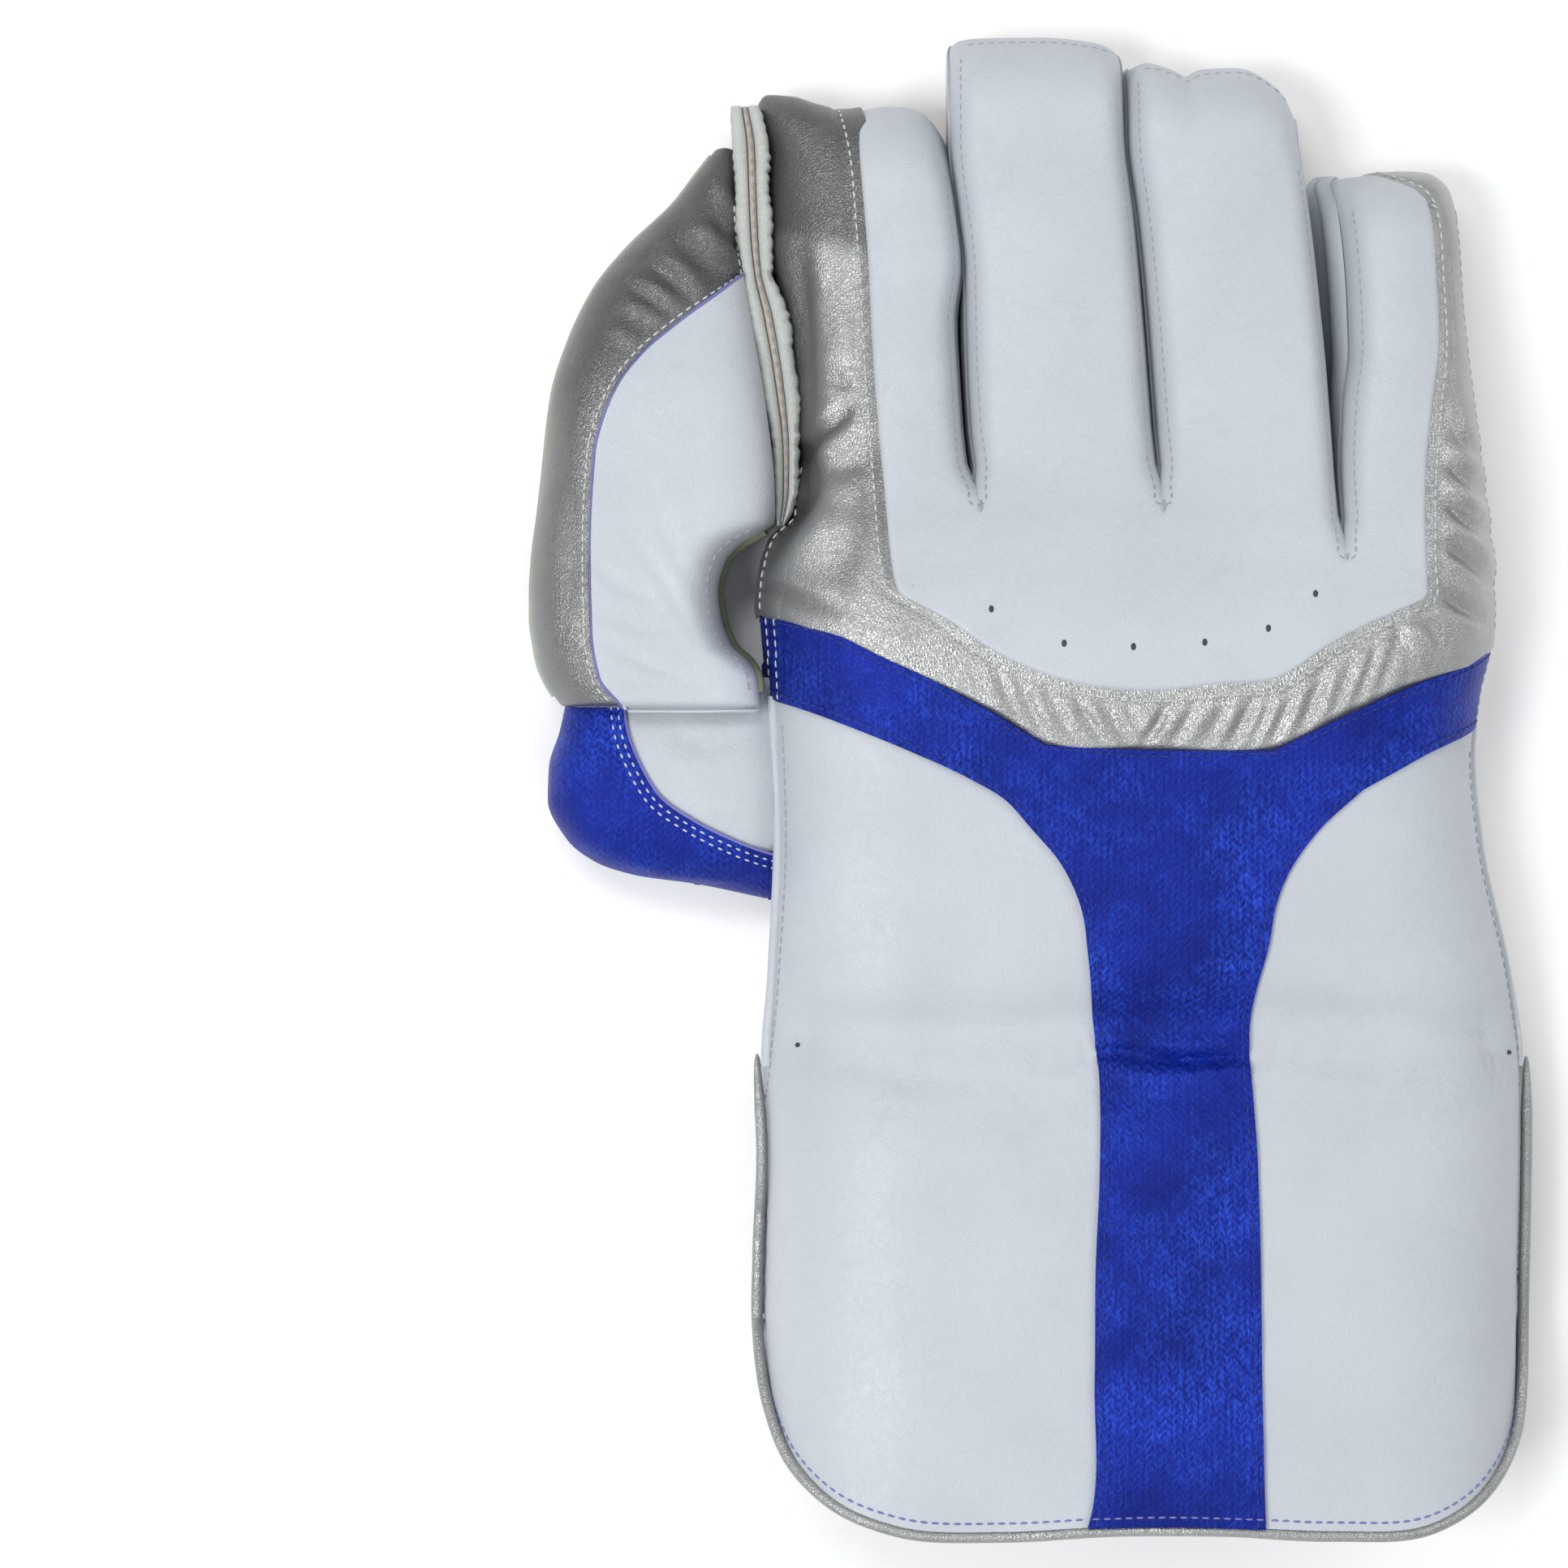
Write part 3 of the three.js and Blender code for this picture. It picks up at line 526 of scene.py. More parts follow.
def quads_of(grid, closed=False):
    """The faces of a grid; a closed one joins its last column to its first."""
    rows, cols = grid.shape[:2]
    at = np.arange(rows * cols).reshape(rows, cols)
    if closed:
        at = np.concatenate([at, at[:, :1]], 1)
    return np.stack([at[:-1, :-1], at[:-1, 1:], at[1:, 1:], at[1:, :-1]], -1).reshape(-1, 4)


def placed(name, data):
    """A new object with the given data, linked into the scene."""
    made = bpy.data.objects.new(name, data)
    bpy.context.scene.collection.objects.link(made)
    return made


def mesh_of(name, points, faces):
    """Writes points in millimetres and faces into a new mesh in metres."""
    mesh = bpy.data.meshes.new(name)
    mesh.from_pydata((np.asarray(points, float) * MM).tolist(), [], faces)
    return placed(name, mesh)


def tidy_mesh(made, recalculate=False):
    """Welds points that coincide and drops faces without area."""
    work = bmesh.new()
    work.from_mesh(made.data)
    bmesh.ops.remove_doubles(work, verts=work.verts, dist=WELD * MM)
    bmesh.ops.dissolve_degenerate(work, edges=work.edges, dist=1e-7)
    if recalculate:
        bmesh.ops.recalc_face_normals(work, faces=work.faces)
    work.to_mesh(made.data)
    work.free()


def smoothed(made, crease=None):
    """Shades a mesh smooth, except across edges sharper than the crease in degrees, if one is given."""
    made.data.polygons.foreach_set("use_smooth", np.ones(len(made.data.polygons), bool))
    if crease:
        made.data.set_sharp_from_angle(angle=math.radians(crease))
    return made


def applied(made):
    """Bakes the modifiers into the mesh, then shades it smooth except across sharp edges."""
    graph = bpy.context.evaluated_depsgraph_get()
    final = bpy.data.meshes.new_from_object(made.evaluated_get(graph))
    made.modifiers.clear()
    made.data = final
    return smoothed(made, PANEL_CREASE)


def panel(name, grids, wall=1.4, edge=0.35):
    """One piece of leather: its grids welded, a wall given inwards, and the cut edge rounded."""
    points = np.concatenate([g.reshape(-1, 3) for g in grids])
    starts = np.cumsum([0] + [g.shape[0] * g.shape[1] for g in grids[:-1]])
    faces = np.concatenate([quads_of(g) + s for g, s in zip(grids, starts)])
    made = mesh_of(name, points, faces.tolist())
    tidy_mesh(made)
    solid = made.modifiers.new("wall", "SOLIDIFY")
    solid.thickness, solid.offset = wall * MM, -1
    if edge:
        bevel = made.modifiers.new("edge", "BEVEL")
        bevel.width, bevel.segments, bevel.limit_method = edge * MM, 2, "ANGLE"
        bevel.angle_limit = math.radians(60)
    return applied(made)


# %% [markdown]
# The last step is the same for every piece: its material, the body it rides on, and hiding the solid it stands
# for. One function does that, and prints how fine the piece is.

# %% Finished pieces
def shade(made, share):
    """Writes how far each point is turned from the light, worked out from its place in the plan."""
    flat = np.empty(len(made.data.vertices) * 3)
    made.data.vertices.foreach_get("co", flat)
    x, y = flat[0::3] / MM, flat[1::3] / MM
    made.data.attributes.new("shade", "FLOAT", "POINT").data.foreach_set("value", np.clip(share(x, y), 0, 1))


def sewn_in(made, finish, slot, *nodes):
    """Gives a finished piece its material and its place in the frame, and hides the solid it stands for."""
    made.data.materials.clear()
    made.data.materials.append(finish)
    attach(made, "root")
    if nodes:
        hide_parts(*nodes)
    triangles = sum(len(p.vertices) - 2 for p in made.data.polygons)
    print(f"{made.name}: {triangles} triangles")
    return made


# %% [markdown]
# ## Folds
# Leather shows its use in folds: one long line where it creases, and rows of short gathers where a
# longer panel is eased into a shorter seam. A fold is a groove along a line, with a soft ridge on
# each side.

# %% Folds and gathers
def distance_to(line, x, y):
    """Distance from every point to a line of straight pieces, and the share of its length there."""
    a, b = line[:-1], line[1:]
    d = b - a
    px, py = x[..., None] - a[:, 0], y[..., None] - a[:, 1]
    t = np.clip((px * d[:, 0] + py * d[:, 1]) / (d**2).sum(-1), 0, 1)
    gap = np.hypot(px - t * d[:, 0], py - t * d[:, 1])
    nearest = gap.argmin(-1)
    run = run_of(line)
    share = (run[nearest] + np.take_along_axis(t, nearest[..., None], -1)[..., 0] * np.diff(run)[nearest]) / run[-1]
    return gap.min(-1), share


def fold(x, y, points, depth, width):
    """A groove along a line: minus a bell curve, plus a wider one, fading out at both ends."""
    gap, share = distance_to(curve(plan(points), even(16)), x, y)
    fade = np.sin(np.pi * np.clip(share, 0.04, 0.96)) ** 0.7
    return depth * fade * (-np.exp(-((gap / width) ** 2)) + 0.3 * np.exp(-(((gap - 1.9 * width) / width) ** 2)))


def folds(x, y, rows):
    """Several folds together, each row with its points, depth and width."""
    return sum(fold(x, y, *row) for row in rows)


def soft_noise(x, y, scale, seed):
    """Slow swells without a direction: a sum of eight plane waves with fixed directions."""
    rng = np.random.default_rng(seed)
    total = np.zeros_like(x)
    for _ in range(8):
        turn, phase, stretch = rng.uniform(0, 2 * np.pi), rng.uniform(0, 2 * np.pi), rng.uniform(0.6, 1.6)
        total += np.sin((x * np.cos(turn) + y * np.sin(turn)) * stretch * 2 * np.pi / scale + phase)
    return total / 8


# %% [markdown]
# ## Materials
# ### Shared effects
# Grain and handling marks are on every leather here, so each is one node group with its own inputs.
# A group hands out heights and masks only, and each material decides what they do.

# %% Node helpers and groups
def node(tree, kind, inputs=(), **settings):
    """Adds a node, sets its fields, and links or sets its inputs."""
    made = tree.nodes.new(kind)
    for key, value in settings.items():
        setattr(made, key, value)
    for key, value in dict(inputs).items():
        if isinstance(value, bpy.types.NodeSocket):
            tree.links.new(value, made.inputs[key])
        else:
            made.inputs[key].default_value = value
    return made


def group(name, inputs, outputs):
    """An empty node group with float inputs and outputs, and a vector that says where."""
    tree = bpy.data.node_groups.new(name, "ShaderNodeTree")
    tree.interface.new_socket("Vector", in_out="INPUT", socket_type="NodeSocketVector")
    for key, value in inputs.items():
        tree.interface.new_socket(key, in_out="INPUT", socket_type="NodeSocketFloat").default_value = value
    for key in outputs:
        tree.interface.new_socket(key, in_out="OUTPUT", socket_type="NodeSocketFloat")
    return tree, tree.nodes.new("NodeGroupInput"), tree.nodes.new("NodeGroupOutput")


def sums(tree, operation, a, b):
    """One step of arithmetic on two values."""
    return node(tree, "ShaderNodeMath", {0: a, 1: b}, operation=operation).outputs[0]


def ramp(tree, value, low, high, to_low=0.0, to_high=1.0):
    """Maps a range of values to another, held at its ends."""
    return node(
        tree, "ShaderNodeMapRange",
        {"Value": value, "From Min": low, "From Max": high, "To Min": to_low, "To Max": to_high},
    ).outputs[0]


def mixed_colour(tree, share, first, second):
    """Mixes two colours by a share; either can be another node's output."""
    first, second = (c if isinstance(c, bpy.types.NodeSocket) else (*c, 1) for c in (first, second))
    return node(tree, "ShaderNodeMix", {0: share, 6: first, 7: second}, data_type="RGBA").outputs[2]


# %% [markdown]
# Grain is a net of small cells with pores and a few long creases: a Voronoi texture and two noises.
# Handling leaves soft patches and fine dust, two noises more.

# %% Grain and handling
grain_group, g_in, g_out = group("leather_grain", {"Size": 900.0, "Creasing": 0.5}, ["Height", "Cells"])
cells = node(grain_group, "ShaderNodeTexVoronoi", {"Vector": g_in.outputs["Vector"], "Scale": g_in.outputs["Size"]},
             feature="DISTANCE_TO_EDGE")
pores = node(grain_group, "ShaderNodeTexNoise",
             {"Vector": g_in.outputs["Vector"], "Scale": sums(grain_group, "MULTIPLY", g_in.outputs["Size"], 0.45),
              "Detail": 5.0, "Roughness": 0.6})
long_lines = node(grain_group, "ShaderNodeTexNoise",
                  {"Vector": g_in.outputs["Vector"], "Scale": 70.0, "Detail": 6.0, "Roughness": 0.7,
                   "Distortion": 1.6})
off_middle = sums(grain_group, "SUBTRACT", long_lines.outputs[0], 0.5)
lines = ramp(grain_group, sums(grain_group, "ABSOLUTE", off_middle, 0), 0.0, 0.03)
cell_height = ramp(grain_group, cells.outputs["Distance"], 0.0, 0.25)
mixed = sums(grain_group, "ADD", sums(grain_group, "MULTIPLY", cell_height, 0.5), pores.outputs[0])
creased = sums(grain_group, "MULTIPLY", sums(grain_group, "SUBTRACT", lines, 1.0), g_in.outputs["Creasing"])
grain_group.links.new(sums(grain_group, "ADD", mixed, creased), g_out.inputs["Height"])
grain_group.links.new(cell_height, g_out.inputs["Cells"])

wear_group, w_in, w_out = group("handling", {"Patches": 26.0}, ["Patches", "Dust"])
patches = node(wear_group, "ShaderNodeTexNoise",
               {"Vector": w_in.outputs["Vector"], "Scale": w_in.outputs["Patches"], "Detail": 4.0, "Roughness": 0.55})
dust = node(wear_group, "ShaderNodeTexNoise",
            {"Vector": w_in.outputs["Vector"], "Scale": 1400.0, "Detail": 2.0, "Roughness": 0.7})
wear_group.links.new(ramp(wear_group, patches.outputs[0], 0.35, 0.65), w_out.inputs["Patches"])
wear_group.links.new(ramp(wear_group, dust.outputs[0], 0.55, 0.75), w_out.inputs["Dust"])


# %% [markdown]
# The finishes differ only in numbers, such as two close colours and a gloss, so one function makes
# them all.

# %% One function for all finishes
def finish_of(name, light, dark, roughness, grain_size, bump, creasing=0.4, patches_scale=26.0,
              metallic=0.0, sheen=0.0, rough_spread=0.12, specular=0.5, shaded=None):
    """A sewn material: two close colours mixed by handling, grain as bump, gloss broken by both.

    With a shaded colour, the mesh's own "shade" attribute leads from the two colours to it.
    """
    made = bpy.data.materials.new(name)
    made.use_nodes = True
    tree = made.node_tree
    tree.nodes.clear()
    where = node(tree, "ShaderNodeTexCoord").outputs["Object"]
    grain = node(tree, "ShaderNodeGroup", node_tree=grain_group)
    tree.links.new(where, grain.inputs["Vector"])
    grain.inputs["Size"].default_value = grain_size
    grain.inputs["Creasing"].default_value = creasing
    wear = node(tree, "ShaderNodeGroup", node_tree=wear_group)
    tree.links.new(where, wear.inputs["Vector"])
    wear.inputs["Patches"].default_value = patches_scale
    share = sums(tree, "ADD", sums(tree, "MULTIPLY", wear.outputs["Patches"], 0.6),
                 sums(tree, "MULTIPLY", wear.outputs["Dust"], 0.4))
    colour = mixed_colour(tree, share, light, dark)
    if shaded:
        turned = node(tree, "ShaderNodeAttribute", attribute_name="shade")
        colour = mixed_colour(tree, turned.outputs["Fac"], colour, shaded)
    rough = ramp(tree, wear.outputs["Patches"], 0, 1, roughness - rough_spread / 2, roughness + rough_spread / 2)
    bumped = node(tree, "ShaderNodeBump", {"Height": grain.outputs["Height"], "Strength": 1.0, "Distance": bump * MM})
    shader = node(tree, "ShaderNodeBsdfPrincipled",
                  {"Base Color": colour, "Roughness": rough, "Metallic": metallic,
                   "Normal": bumped.outputs[0], "Sheen Weight": sheen, "Sheen Roughness": 0.4,
                   "Specular IOR Level": specular})
    node(tree, "ShaderNodeOutputMaterial", {"Surface": shader.outputs[0]})
    return made


# %% [markdown]
# ### The finishes
# White leather is cool and softly glossy. The silver is foil on leather: metallic, with a fine
# grain, and a second silver darkens where its mesh says that it turns from the light. The blue is
# foil over a woven emboss, so rows of small chevrons lie under its colour.

# %% Finishes
CHEVRON_WIDTH, CHEVRON_ROW = 0.0015, 0.0017  # metres from one chevron of the emboss to the next
white_leather = finish_of("white leather", (0.5, 0.53, 0.57), (0.445, 0.475, 0.515), 0.46, 1400.0, 0.08, creasing=0.3)
silver_leather = finish_of("silver leather", (0.4, 0.405, 0.4), (0.31, 0.315, 0.31), 0.41, 1500.0, 0.12,
                           metallic=0.85, creasing=0.35)
# A copy of the silver with painted shade: the mesh's "shade" attribute darkens it where it turns from the light.
painted_shade_silver = finish_of("silver leather with painted shade", (0.42, 0.425, 0.42), (0.33, 0.335, 0.33), 0.38, 1500.0, 0.12,
                          metallic=0.85, creasing=0.35, shaded=(0.12, 0.12, 0.117))
rubber = finish_of("dimpled rubber", (0.62, 0.58, 0.53), (0.55, 0.51, 0.47), 0.8, 2200.0, 0.03, creasing=0.1)
suede = finish_of("white suede", (0.64, 0.64, 0.63), (0.54, 0.54, 0.53), 0.95, 3200.0, 0.08, creasing=0.1, sheen=0.3)
cut_edge = finish_of("cut edge", (0.56, 0.58, 0.56), (0.46, 0.48, 0.46), 0.8, 2500.0, 0.15, creasing=0.1)
olive_edge = finish_of("olive cut edge", (0.2, 0.22, 0.13), (0.13, 0.14, 0.09), 0.85, 2500.0, 0.1, creasing=0.1)
green_edge = finish_of("green cut edge", (0.4, 0.45, 0.36), (0.27, 0.32, 0.24), 0.85, 2500.0, 0.1, creasing=0.1)
core = finish_of("padding core", (0.62, 0.57, 0.5), (0.5, 0.45, 0.39), 0.95, 2600.0, 0.2, creasing=0.1)
white_thread = finish_of("white thread", (0.6, 0.62, 0.63), (0.5, 0.52, 0.53), 0.6, 6000.0, 0.05, creasing=0.0)
grey_thread = finish_of("grey thread", (0.36, 0.38, 0.42), (0.28, 0.3, 0.34), 0.6, 6000.0, 0.05, creasing=0.0)
purple_thread = finish_of("purple thread", (0.2, 0.2, 0.5), (0.13, 0.13, 0.38), 0.55, 6000.0, 0.05, creasing=0.0)
navy_thread = finish_of("navy thread", (0.012, 0.03, 0.25), (0.006, 0.016, 0.15), 0.55, 6000.0, 0.05, creasing=0.0)
hole_dark = finish_of("hole shade", (0.06, 0.06, 0.065), (0.03, 0.03, 0.035), 0.9, 2000.0, 0.02, creasing=0.0)


def blue_finish():
    """Blue foil: small chevrons from a wave bent by a zigzag, brushed streaks, brighter patches of painted sheen."""
    made = finish_of("blue leather", (0.002, 0.015, 0.27), (0.001, 0.006, 0.12), 0.46, 1500.0, 0.05,
                     metallic=0.45, patches_scale=45.0, rough_spread=0.2, specular=0.3)
    tree = made.node_tree
    shader = next(n for n in tree.nodes if n.type == "BSDF_PRINCIPLED")
    bump = next(n for n in tree.nodes if n.type == "BUMP")
    where = next(n for n in tree.nodes if n.type == "TEX_COORD").outputs["Object"]
    parts = node(tree, "ShaderNodeSeparateXYZ", {0: where})
    zigzag = sums(tree, "PINGPONG", parts.outputs[0], CHEVRON_WIDTH)
    slanted = sums(tree, "ADD", parts.outputs[1], zigzag)
    rows = sums(tree, "SINE", sums(tree, "MULTIPLY", slanted, 2 * math.pi / CHEVRON_ROW), 0)
    cols = sums(tree, "SINE", sums(tree, "MULTIPLY", parts.outputs[0], 2 * math.pi / CHEVRON_WIDTH), 0)
    emboss = sums(tree, "ADD", sums(tree, "MULTIPLY", rows, 0.5), sums(tree, "MULTIPLY", cols, 0.3))
    brushed = node(tree, "ShaderNodeMapping", {"Vector": where, "Rotation": (0, 0, 0.5), "Scale": (1.0, 0.28, 1.0)})
    streaks = node(tree, "ShaderNodeTexNoise",
                   {"Vector": brushed.outputs[0], "Scale": 1500.0, "Detail": 4.0, "Roughness": 0.7})
    grain_height = bump.inputs["Height"].links[0].from_socket
    relief = sums(tree, "ADD", sums(tree, "MULTIPLY", emboss, 0.8), sums(tree, "MULTIPLY", streaks.outputs[0], 2.2))
    tree.links.new(sums(tree, "ADD", grain_height, relief), bump.inputs["Height"])
    bump.inputs["Distance"].default_value = 0.1 * MM
    # Painted sheen: in patches, along the streaks and the emboss, the blue is mixed towards a bright blue.
    sheen_patches = node(tree, "ShaderNodeTexNoise", {"Vector": where, "Scale": 40.0, "Detail": 5.0, "Roughness": 0.65})
    fleck = sums(tree, "ADD", ramp(tree, streaks.outputs[0], 0.42, 0.62), sums(tree, "MULTIPLY", emboss, 0.45))
    painted_sheen_mask = sums(tree, "MULTIPLY", ramp(tree, sheen_patches.outputs[0], 0.42, 0.66, 0.08, 0.75), fleck)
    under = shader.inputs["Base Color"].links[0].from_socket
    tree.links.new(mixed_colour(tree, painted_sheen_mask, under, (0.018, 0.085, 0.68)), shader.inputs["Base Color"])
    return made


blue_leather = blue_finish()
print(len(bpy.data.materials), "materials")

# %% [markdown]
# ## Stitches and other small repeats
# A lockstitch shows as a row of short thread humps. One hump is a few dozen faces, and a whole row
# is that hump copied along a line on the panel's own surface, so it follows every swell.

# %% Repeating a small shape over a surface
def capsule():
    """A thread hump along x: rings of six points whose radius and height follow an ellipse."""
    t = np.array([-0.92, -0.55, 0.0, 0.55, 0.92])
    rings = (np.sqrt(1 - t**2)[:, None, None] * circle(6)).reshape(-1, 2)
    points = np.concatenate([[[-1, 0, 0]], np.column_stack([np.repeat(t, 6), rings]), [[1, 0, 0]]])
    at = 1 + np.arange(30).reshape(5, 6)
    nxt = np.roll(at, -1, axis=1)
    sides = np.stack([at[:-1], nxt[:-1], nxt[1:], at[1:]], -1).reshape(-1, 4)
    faces = [tuple(f) for f in sides.tolist()]
    faces += [(0, int(nxt[0, k]), int(at[0, k])) for k in range(6)]
    faces += [(31, int(at[4, k]), int(nxt[4, k])) for k in range(6)]
    return points, faces


def copies(name, shape, places, forward, up, sizes):
    """One mesh of many copies: each has its place, its forward and up directions, and its size."""
    points, faces = shape
    up = unit(up)
    forward = unit(forward - (forward * up).sum(-1, keepdims=True) * up)
    turned = np.stack([forward, np.cross(up, forward), up], 1)
    local = points[None] * np.broadcast_to(sizes, (len(places), 3))[:, None]
    whole = places[:, None] + local @ turned
    count = len(points)
    every = [tuple(i + count * k for i in f) for k in range(len(places)) for f in faces]
    return smoothed(mesh_of(name, whole.reshape(-1, 3), every))


# %% [markdown]
# A row of stitches keeps its distance from a border, measured inwards along the panel's own grid.
# Rows are only noted here and made at the end, as one mesh for each thread.

# %% Rows of stitches
def inset(grid, side, distance):
    """The line at a distance, seen from above, inside one border of a grid, with its normals."""
    turned = border_first(np.concatenate([grid, facing_out(grid)], -1), side)
    run = run_inwards(turned[..., :2])
    k = np.clip((run <= distance).sum(1) - 1, 0, turned.shape[1] - 2)
    rows = np.arange(len(turned))
    step = np.maximum(run[rows, k + 1] - run[rows, k], 1e-9)
    t = np.clip((distance - run[rows, k]) / step, 0, 1)[:, None]
    return turned[rows, k] * (1 - t) + turned[rows, k + 1] * t


stitch_rows = {"white": [], "grey": [], "purple": [], "navy": []}
STITCH, PITCH = 0.85, 2.4  # half length of a hump, and the distance from one to the next


def stitch(colour, line, start=0.0, stop=1.0, pitch=PITCH, half=STITCH):
    """Notes a row of stitches along a line of points and normals."""
    run = run_of(line[:, :3])
    count = int((stop - start) * run[-1] / pitch)
    if count < 2:
        return
    at = np.linspace(start * run[-1], stop * run[-1], count + 1)[:-1] + pitch / 2
    whole = np.stack([np.interp(at, run, line[:, k]) for k in range(6)], -1)
    ahead = np.stack([np.interp(at + 0.3, run, line[:, k]) for k in range(3)], -1)
    behind = np.stack([np.interp(at - 0.3, run, line[:, k]) for k in range(3)], -1)
    stitch_rows[colour].append((whole[:, :3], ahead - behind, whole[:, 3:], half))


def with_up(points, up):
    """A line of points with one normal for all of them."""
    return np.concatenate([points, np.tile(np.array(up, float), (len(points), 1))], -1)


def line_on(grid, points):
    """A free line in the plan laid on a grid's surface, with normals, by its nearest grid points."""
    flat = grid[..., :2].reshape(-1, 2)
    both = np.concatenate([grid, facing_out(grid)], -1).reshape(-1, 6)
    near = ((flat[None] - points[:, None]) ** 2).sum(-1)
    order = np.argsort(near, axis=1)[:, :4]
    weight = 1 / (np.take_along_axis(near, order, 1) + 1e-6)
    found = (both[order] * weight[..., None]).sum(1) / weight.sum(1)[:, None]
    found[:, :2] = points
    return found


# %% [markdown]
# ## The back of the hand
# One white panel covers the back and all four fingers, with three slits. It is cut as four strips,
# one a finger, that share their edges up to the slit's end and part from there. The leather turns
# down at a slit, swells a little over each finger, and curls over the tips.

# %% White back panel
def swell(x, y):
    """Slow unevenness of the whole back."""
    return 0.35 * soft_noise(x, y, 70, 3) + 0.18 * soft_noise(x, y, 26, 4)


bottom_x, bottom_y = (curve(white_bottom, even(300))[:, k] for k in (0, 1))
left_of, right_of = across_at(white_left), across_at(white_right)
LIFT = 2.0  # how far the white panel's skin stands off the form
EDGE_DROP, EDGE_RISE = 7.5, 4.6  # how far the leather turns down at a slit, and over what width
SLIT_STITCH = 1.7  # distance of a slit's stitches from its edge
TIP_STITCH = 2.4  # and of those across a fingertip
TIP_SKIN = (1.7, 1.7, 1.7, 1.0)  # how far each fingertip's grid ends before the measured line


def kept_back(edge, toward, start):
    """A slit's edge drawn back by the skin's own thickness, from the slit's end upwards."""
    return lambda y: edge(y) + toward * LIFT * np.clip((y - start) / 9, 0, 1)


finger_edges = [
    (left_of, kept_back(slit_edges["index right"], -1, SLIT_END[1]), None, SLIT_END[1]),
    (kept_back(slit_edges["middle left"], 1, SLIT_END[1]), kept_back(slit_edges["middle right"], -1, SLIT_END[2]),
     SLIT_END[1], SLIT_END[2]),
    (kept_back(slit_edges["ring left"], 1, SLIT_END[2]), kept_back(slit_edges["ring right"], -1, SLIT_END[3]),
     SLIT_END[2], SLIT_END[3]),
    (kept_back(slit_edges["little left"], 1, SLIT_END[3]), right_of, SLIT_END[3], None),
]


def finger_tip(finger, x):
    """The tip's line less the skin's thickness, so that the finished tip meets the measured one."""
    return tip_y(finger, x) - TIP_SKIN[finger]


def strip_end(finger, x):
    """Where a finger's white strip ends: at the tip, or where the little finger's silver begins."""
    tip = finger_tip(finger, x)
    if finger < 3:
        return tip
    return np.minimum(np.interp(x, white_little_top[::-1, 0], white_little_top[::-1, 1]), tip)


def finger_height(finger, x, y):
    """Height of the back, less the turn-down beside a slit, plus a swell over the finger, all
    brought down to the seam towards the tip, with a groove where the stitches pull."""
    left_edge, right_edge, slit_left, slit_right = finger_edges[finger]
    left, right = left_edge(y), right_edge(y)
    tip = finger_tip(finger, x)
    height = dome(back_form, x, np.minimum(y, y_at(2.98))) - SEAM
    groove = np.exp(-(((tip - y - TIP_STITCH) / 0.8) ** 2)) * (finger in (1, 2))
    for border, gap in ((slit_left, x - left), (slit_right, right - x)):
        if border is not None:
            grown = np.clip((y - border + 1.5) / 20, 0, 1) ** 0.7
            height = height - EDGE_DROP * grown * (1 - shoulder(gap / EDGE_RISE))
            groove = np.maximum(groove, np.exp(-(((gap - 1.1) / 0.8) ** 2)) * np.clip((y - border) / 6, 0, 1))
    middle = np.clip((x - left) / np.maximum(right - left, 1), 0, 1)
    height = height + 1.8 * np.sin(np.pi * middle) * np.clip((y - y_at(2.0)) / 30, 0, 1)
    fall = shoulder((tip - y) / TIP_RISE)
    return SEAM + np.maximum(height, 0.6) * fall - 0.35 * groove + swell(x, y) * 0.7


# %% [markdown]
# The strips are filled row by row: up to the little finger's root, to the other roots, and on up
# each finger to its own tip.

# %% The four strips of the back
COLS = 44
LOW_ROWS, MIDDLE_ROWS, HIGH_ROWS = 39, 9, 110  # up to the little finger's root, to the other roots, to the tip
SLIT_ROW = {1: LOW_ROWS + MIDDLE_ROWS, 2: LOW_ROWS + MIDDLE_ROWS, 3: LOW_ROWS}  # the row where each slit ends
back_grids = []
level_low, level_high = y_at(1.901), y_at(2.0)
for finger, (left_edge, right_edge, _, _) in enumerate(finger_edges):
    shares = close_ends(COLS)
    low_left, low_right = float(left_edge(level_low)), float(right_edge(level_low))
    start_left = bottom_x[0] if finger == 0 else low_left
    start_right = bottom_x[-1] if finger == 3 else low_right
    start_x = start_left + (start_right - start_left) * shares
    start_y = np.interp(start_x, bottom_x, bottom_y)
    low_y = start_y + (level_low - start_y) * even(LOW_ROWS + 1)[:-1, None]
    left_line = np.full(len(low_y), low_left)
    right_line = np.full(len(low_y), low_right)
    if finger == 0:
        left_line = left_of(low_y[:, 0])
    if finger == 3:
        right_line = right_of(low_y[:, -1])
    low_x = left_line[:, None] + (right_line - left_line)[:, None] * shares
    middle_y = np.linspace(level_low, level_high, MIDDLE_ROWS + 1)[:-1]
    middle = ruled(left_edge(middle_y), right_edge(middle_y), middle_y, shares)
    end = partial(strip_end, finger)
    high_x, high_y = up_to(end, left_edge, right_edge, level_high, shares, close_end(HIGH_ROWS))
    x = np.concatenate([low_x, middle[..., 0], high_x])
    y = np.concatenate([low_y, middle[..., 1], high_y])
    back_grids.append(raised(np.stack([x, y], -1), finger_height(finger, x, y)))

whole_back = []
for finger, grid in enumerate(back_grids):
    sides = ["bottom"] + (["left"] if finger == 0 else []) + (["right", "top"] if finger == 3 else [])
    whole_back.append(pushed(grid, turned_edge(grid, LIFT, sides)))
# The strips share their borders below the slits.
for slit, row in SLIT_ROW.items():
    meet(whole_back[slit - 1][: row + 1, -1], whole_back[slit][: row + 1, 0])
back = panel("glove_back_white", whole_back, wall=1.3)
sewn_in(back, white_leather, "white_leather", "back_panel")


# %% [markdown]
# Grey thread runs round every slit and across the two longest fingertips. The same formula that
# shaped the back gives the place and the tilt of each stitch.

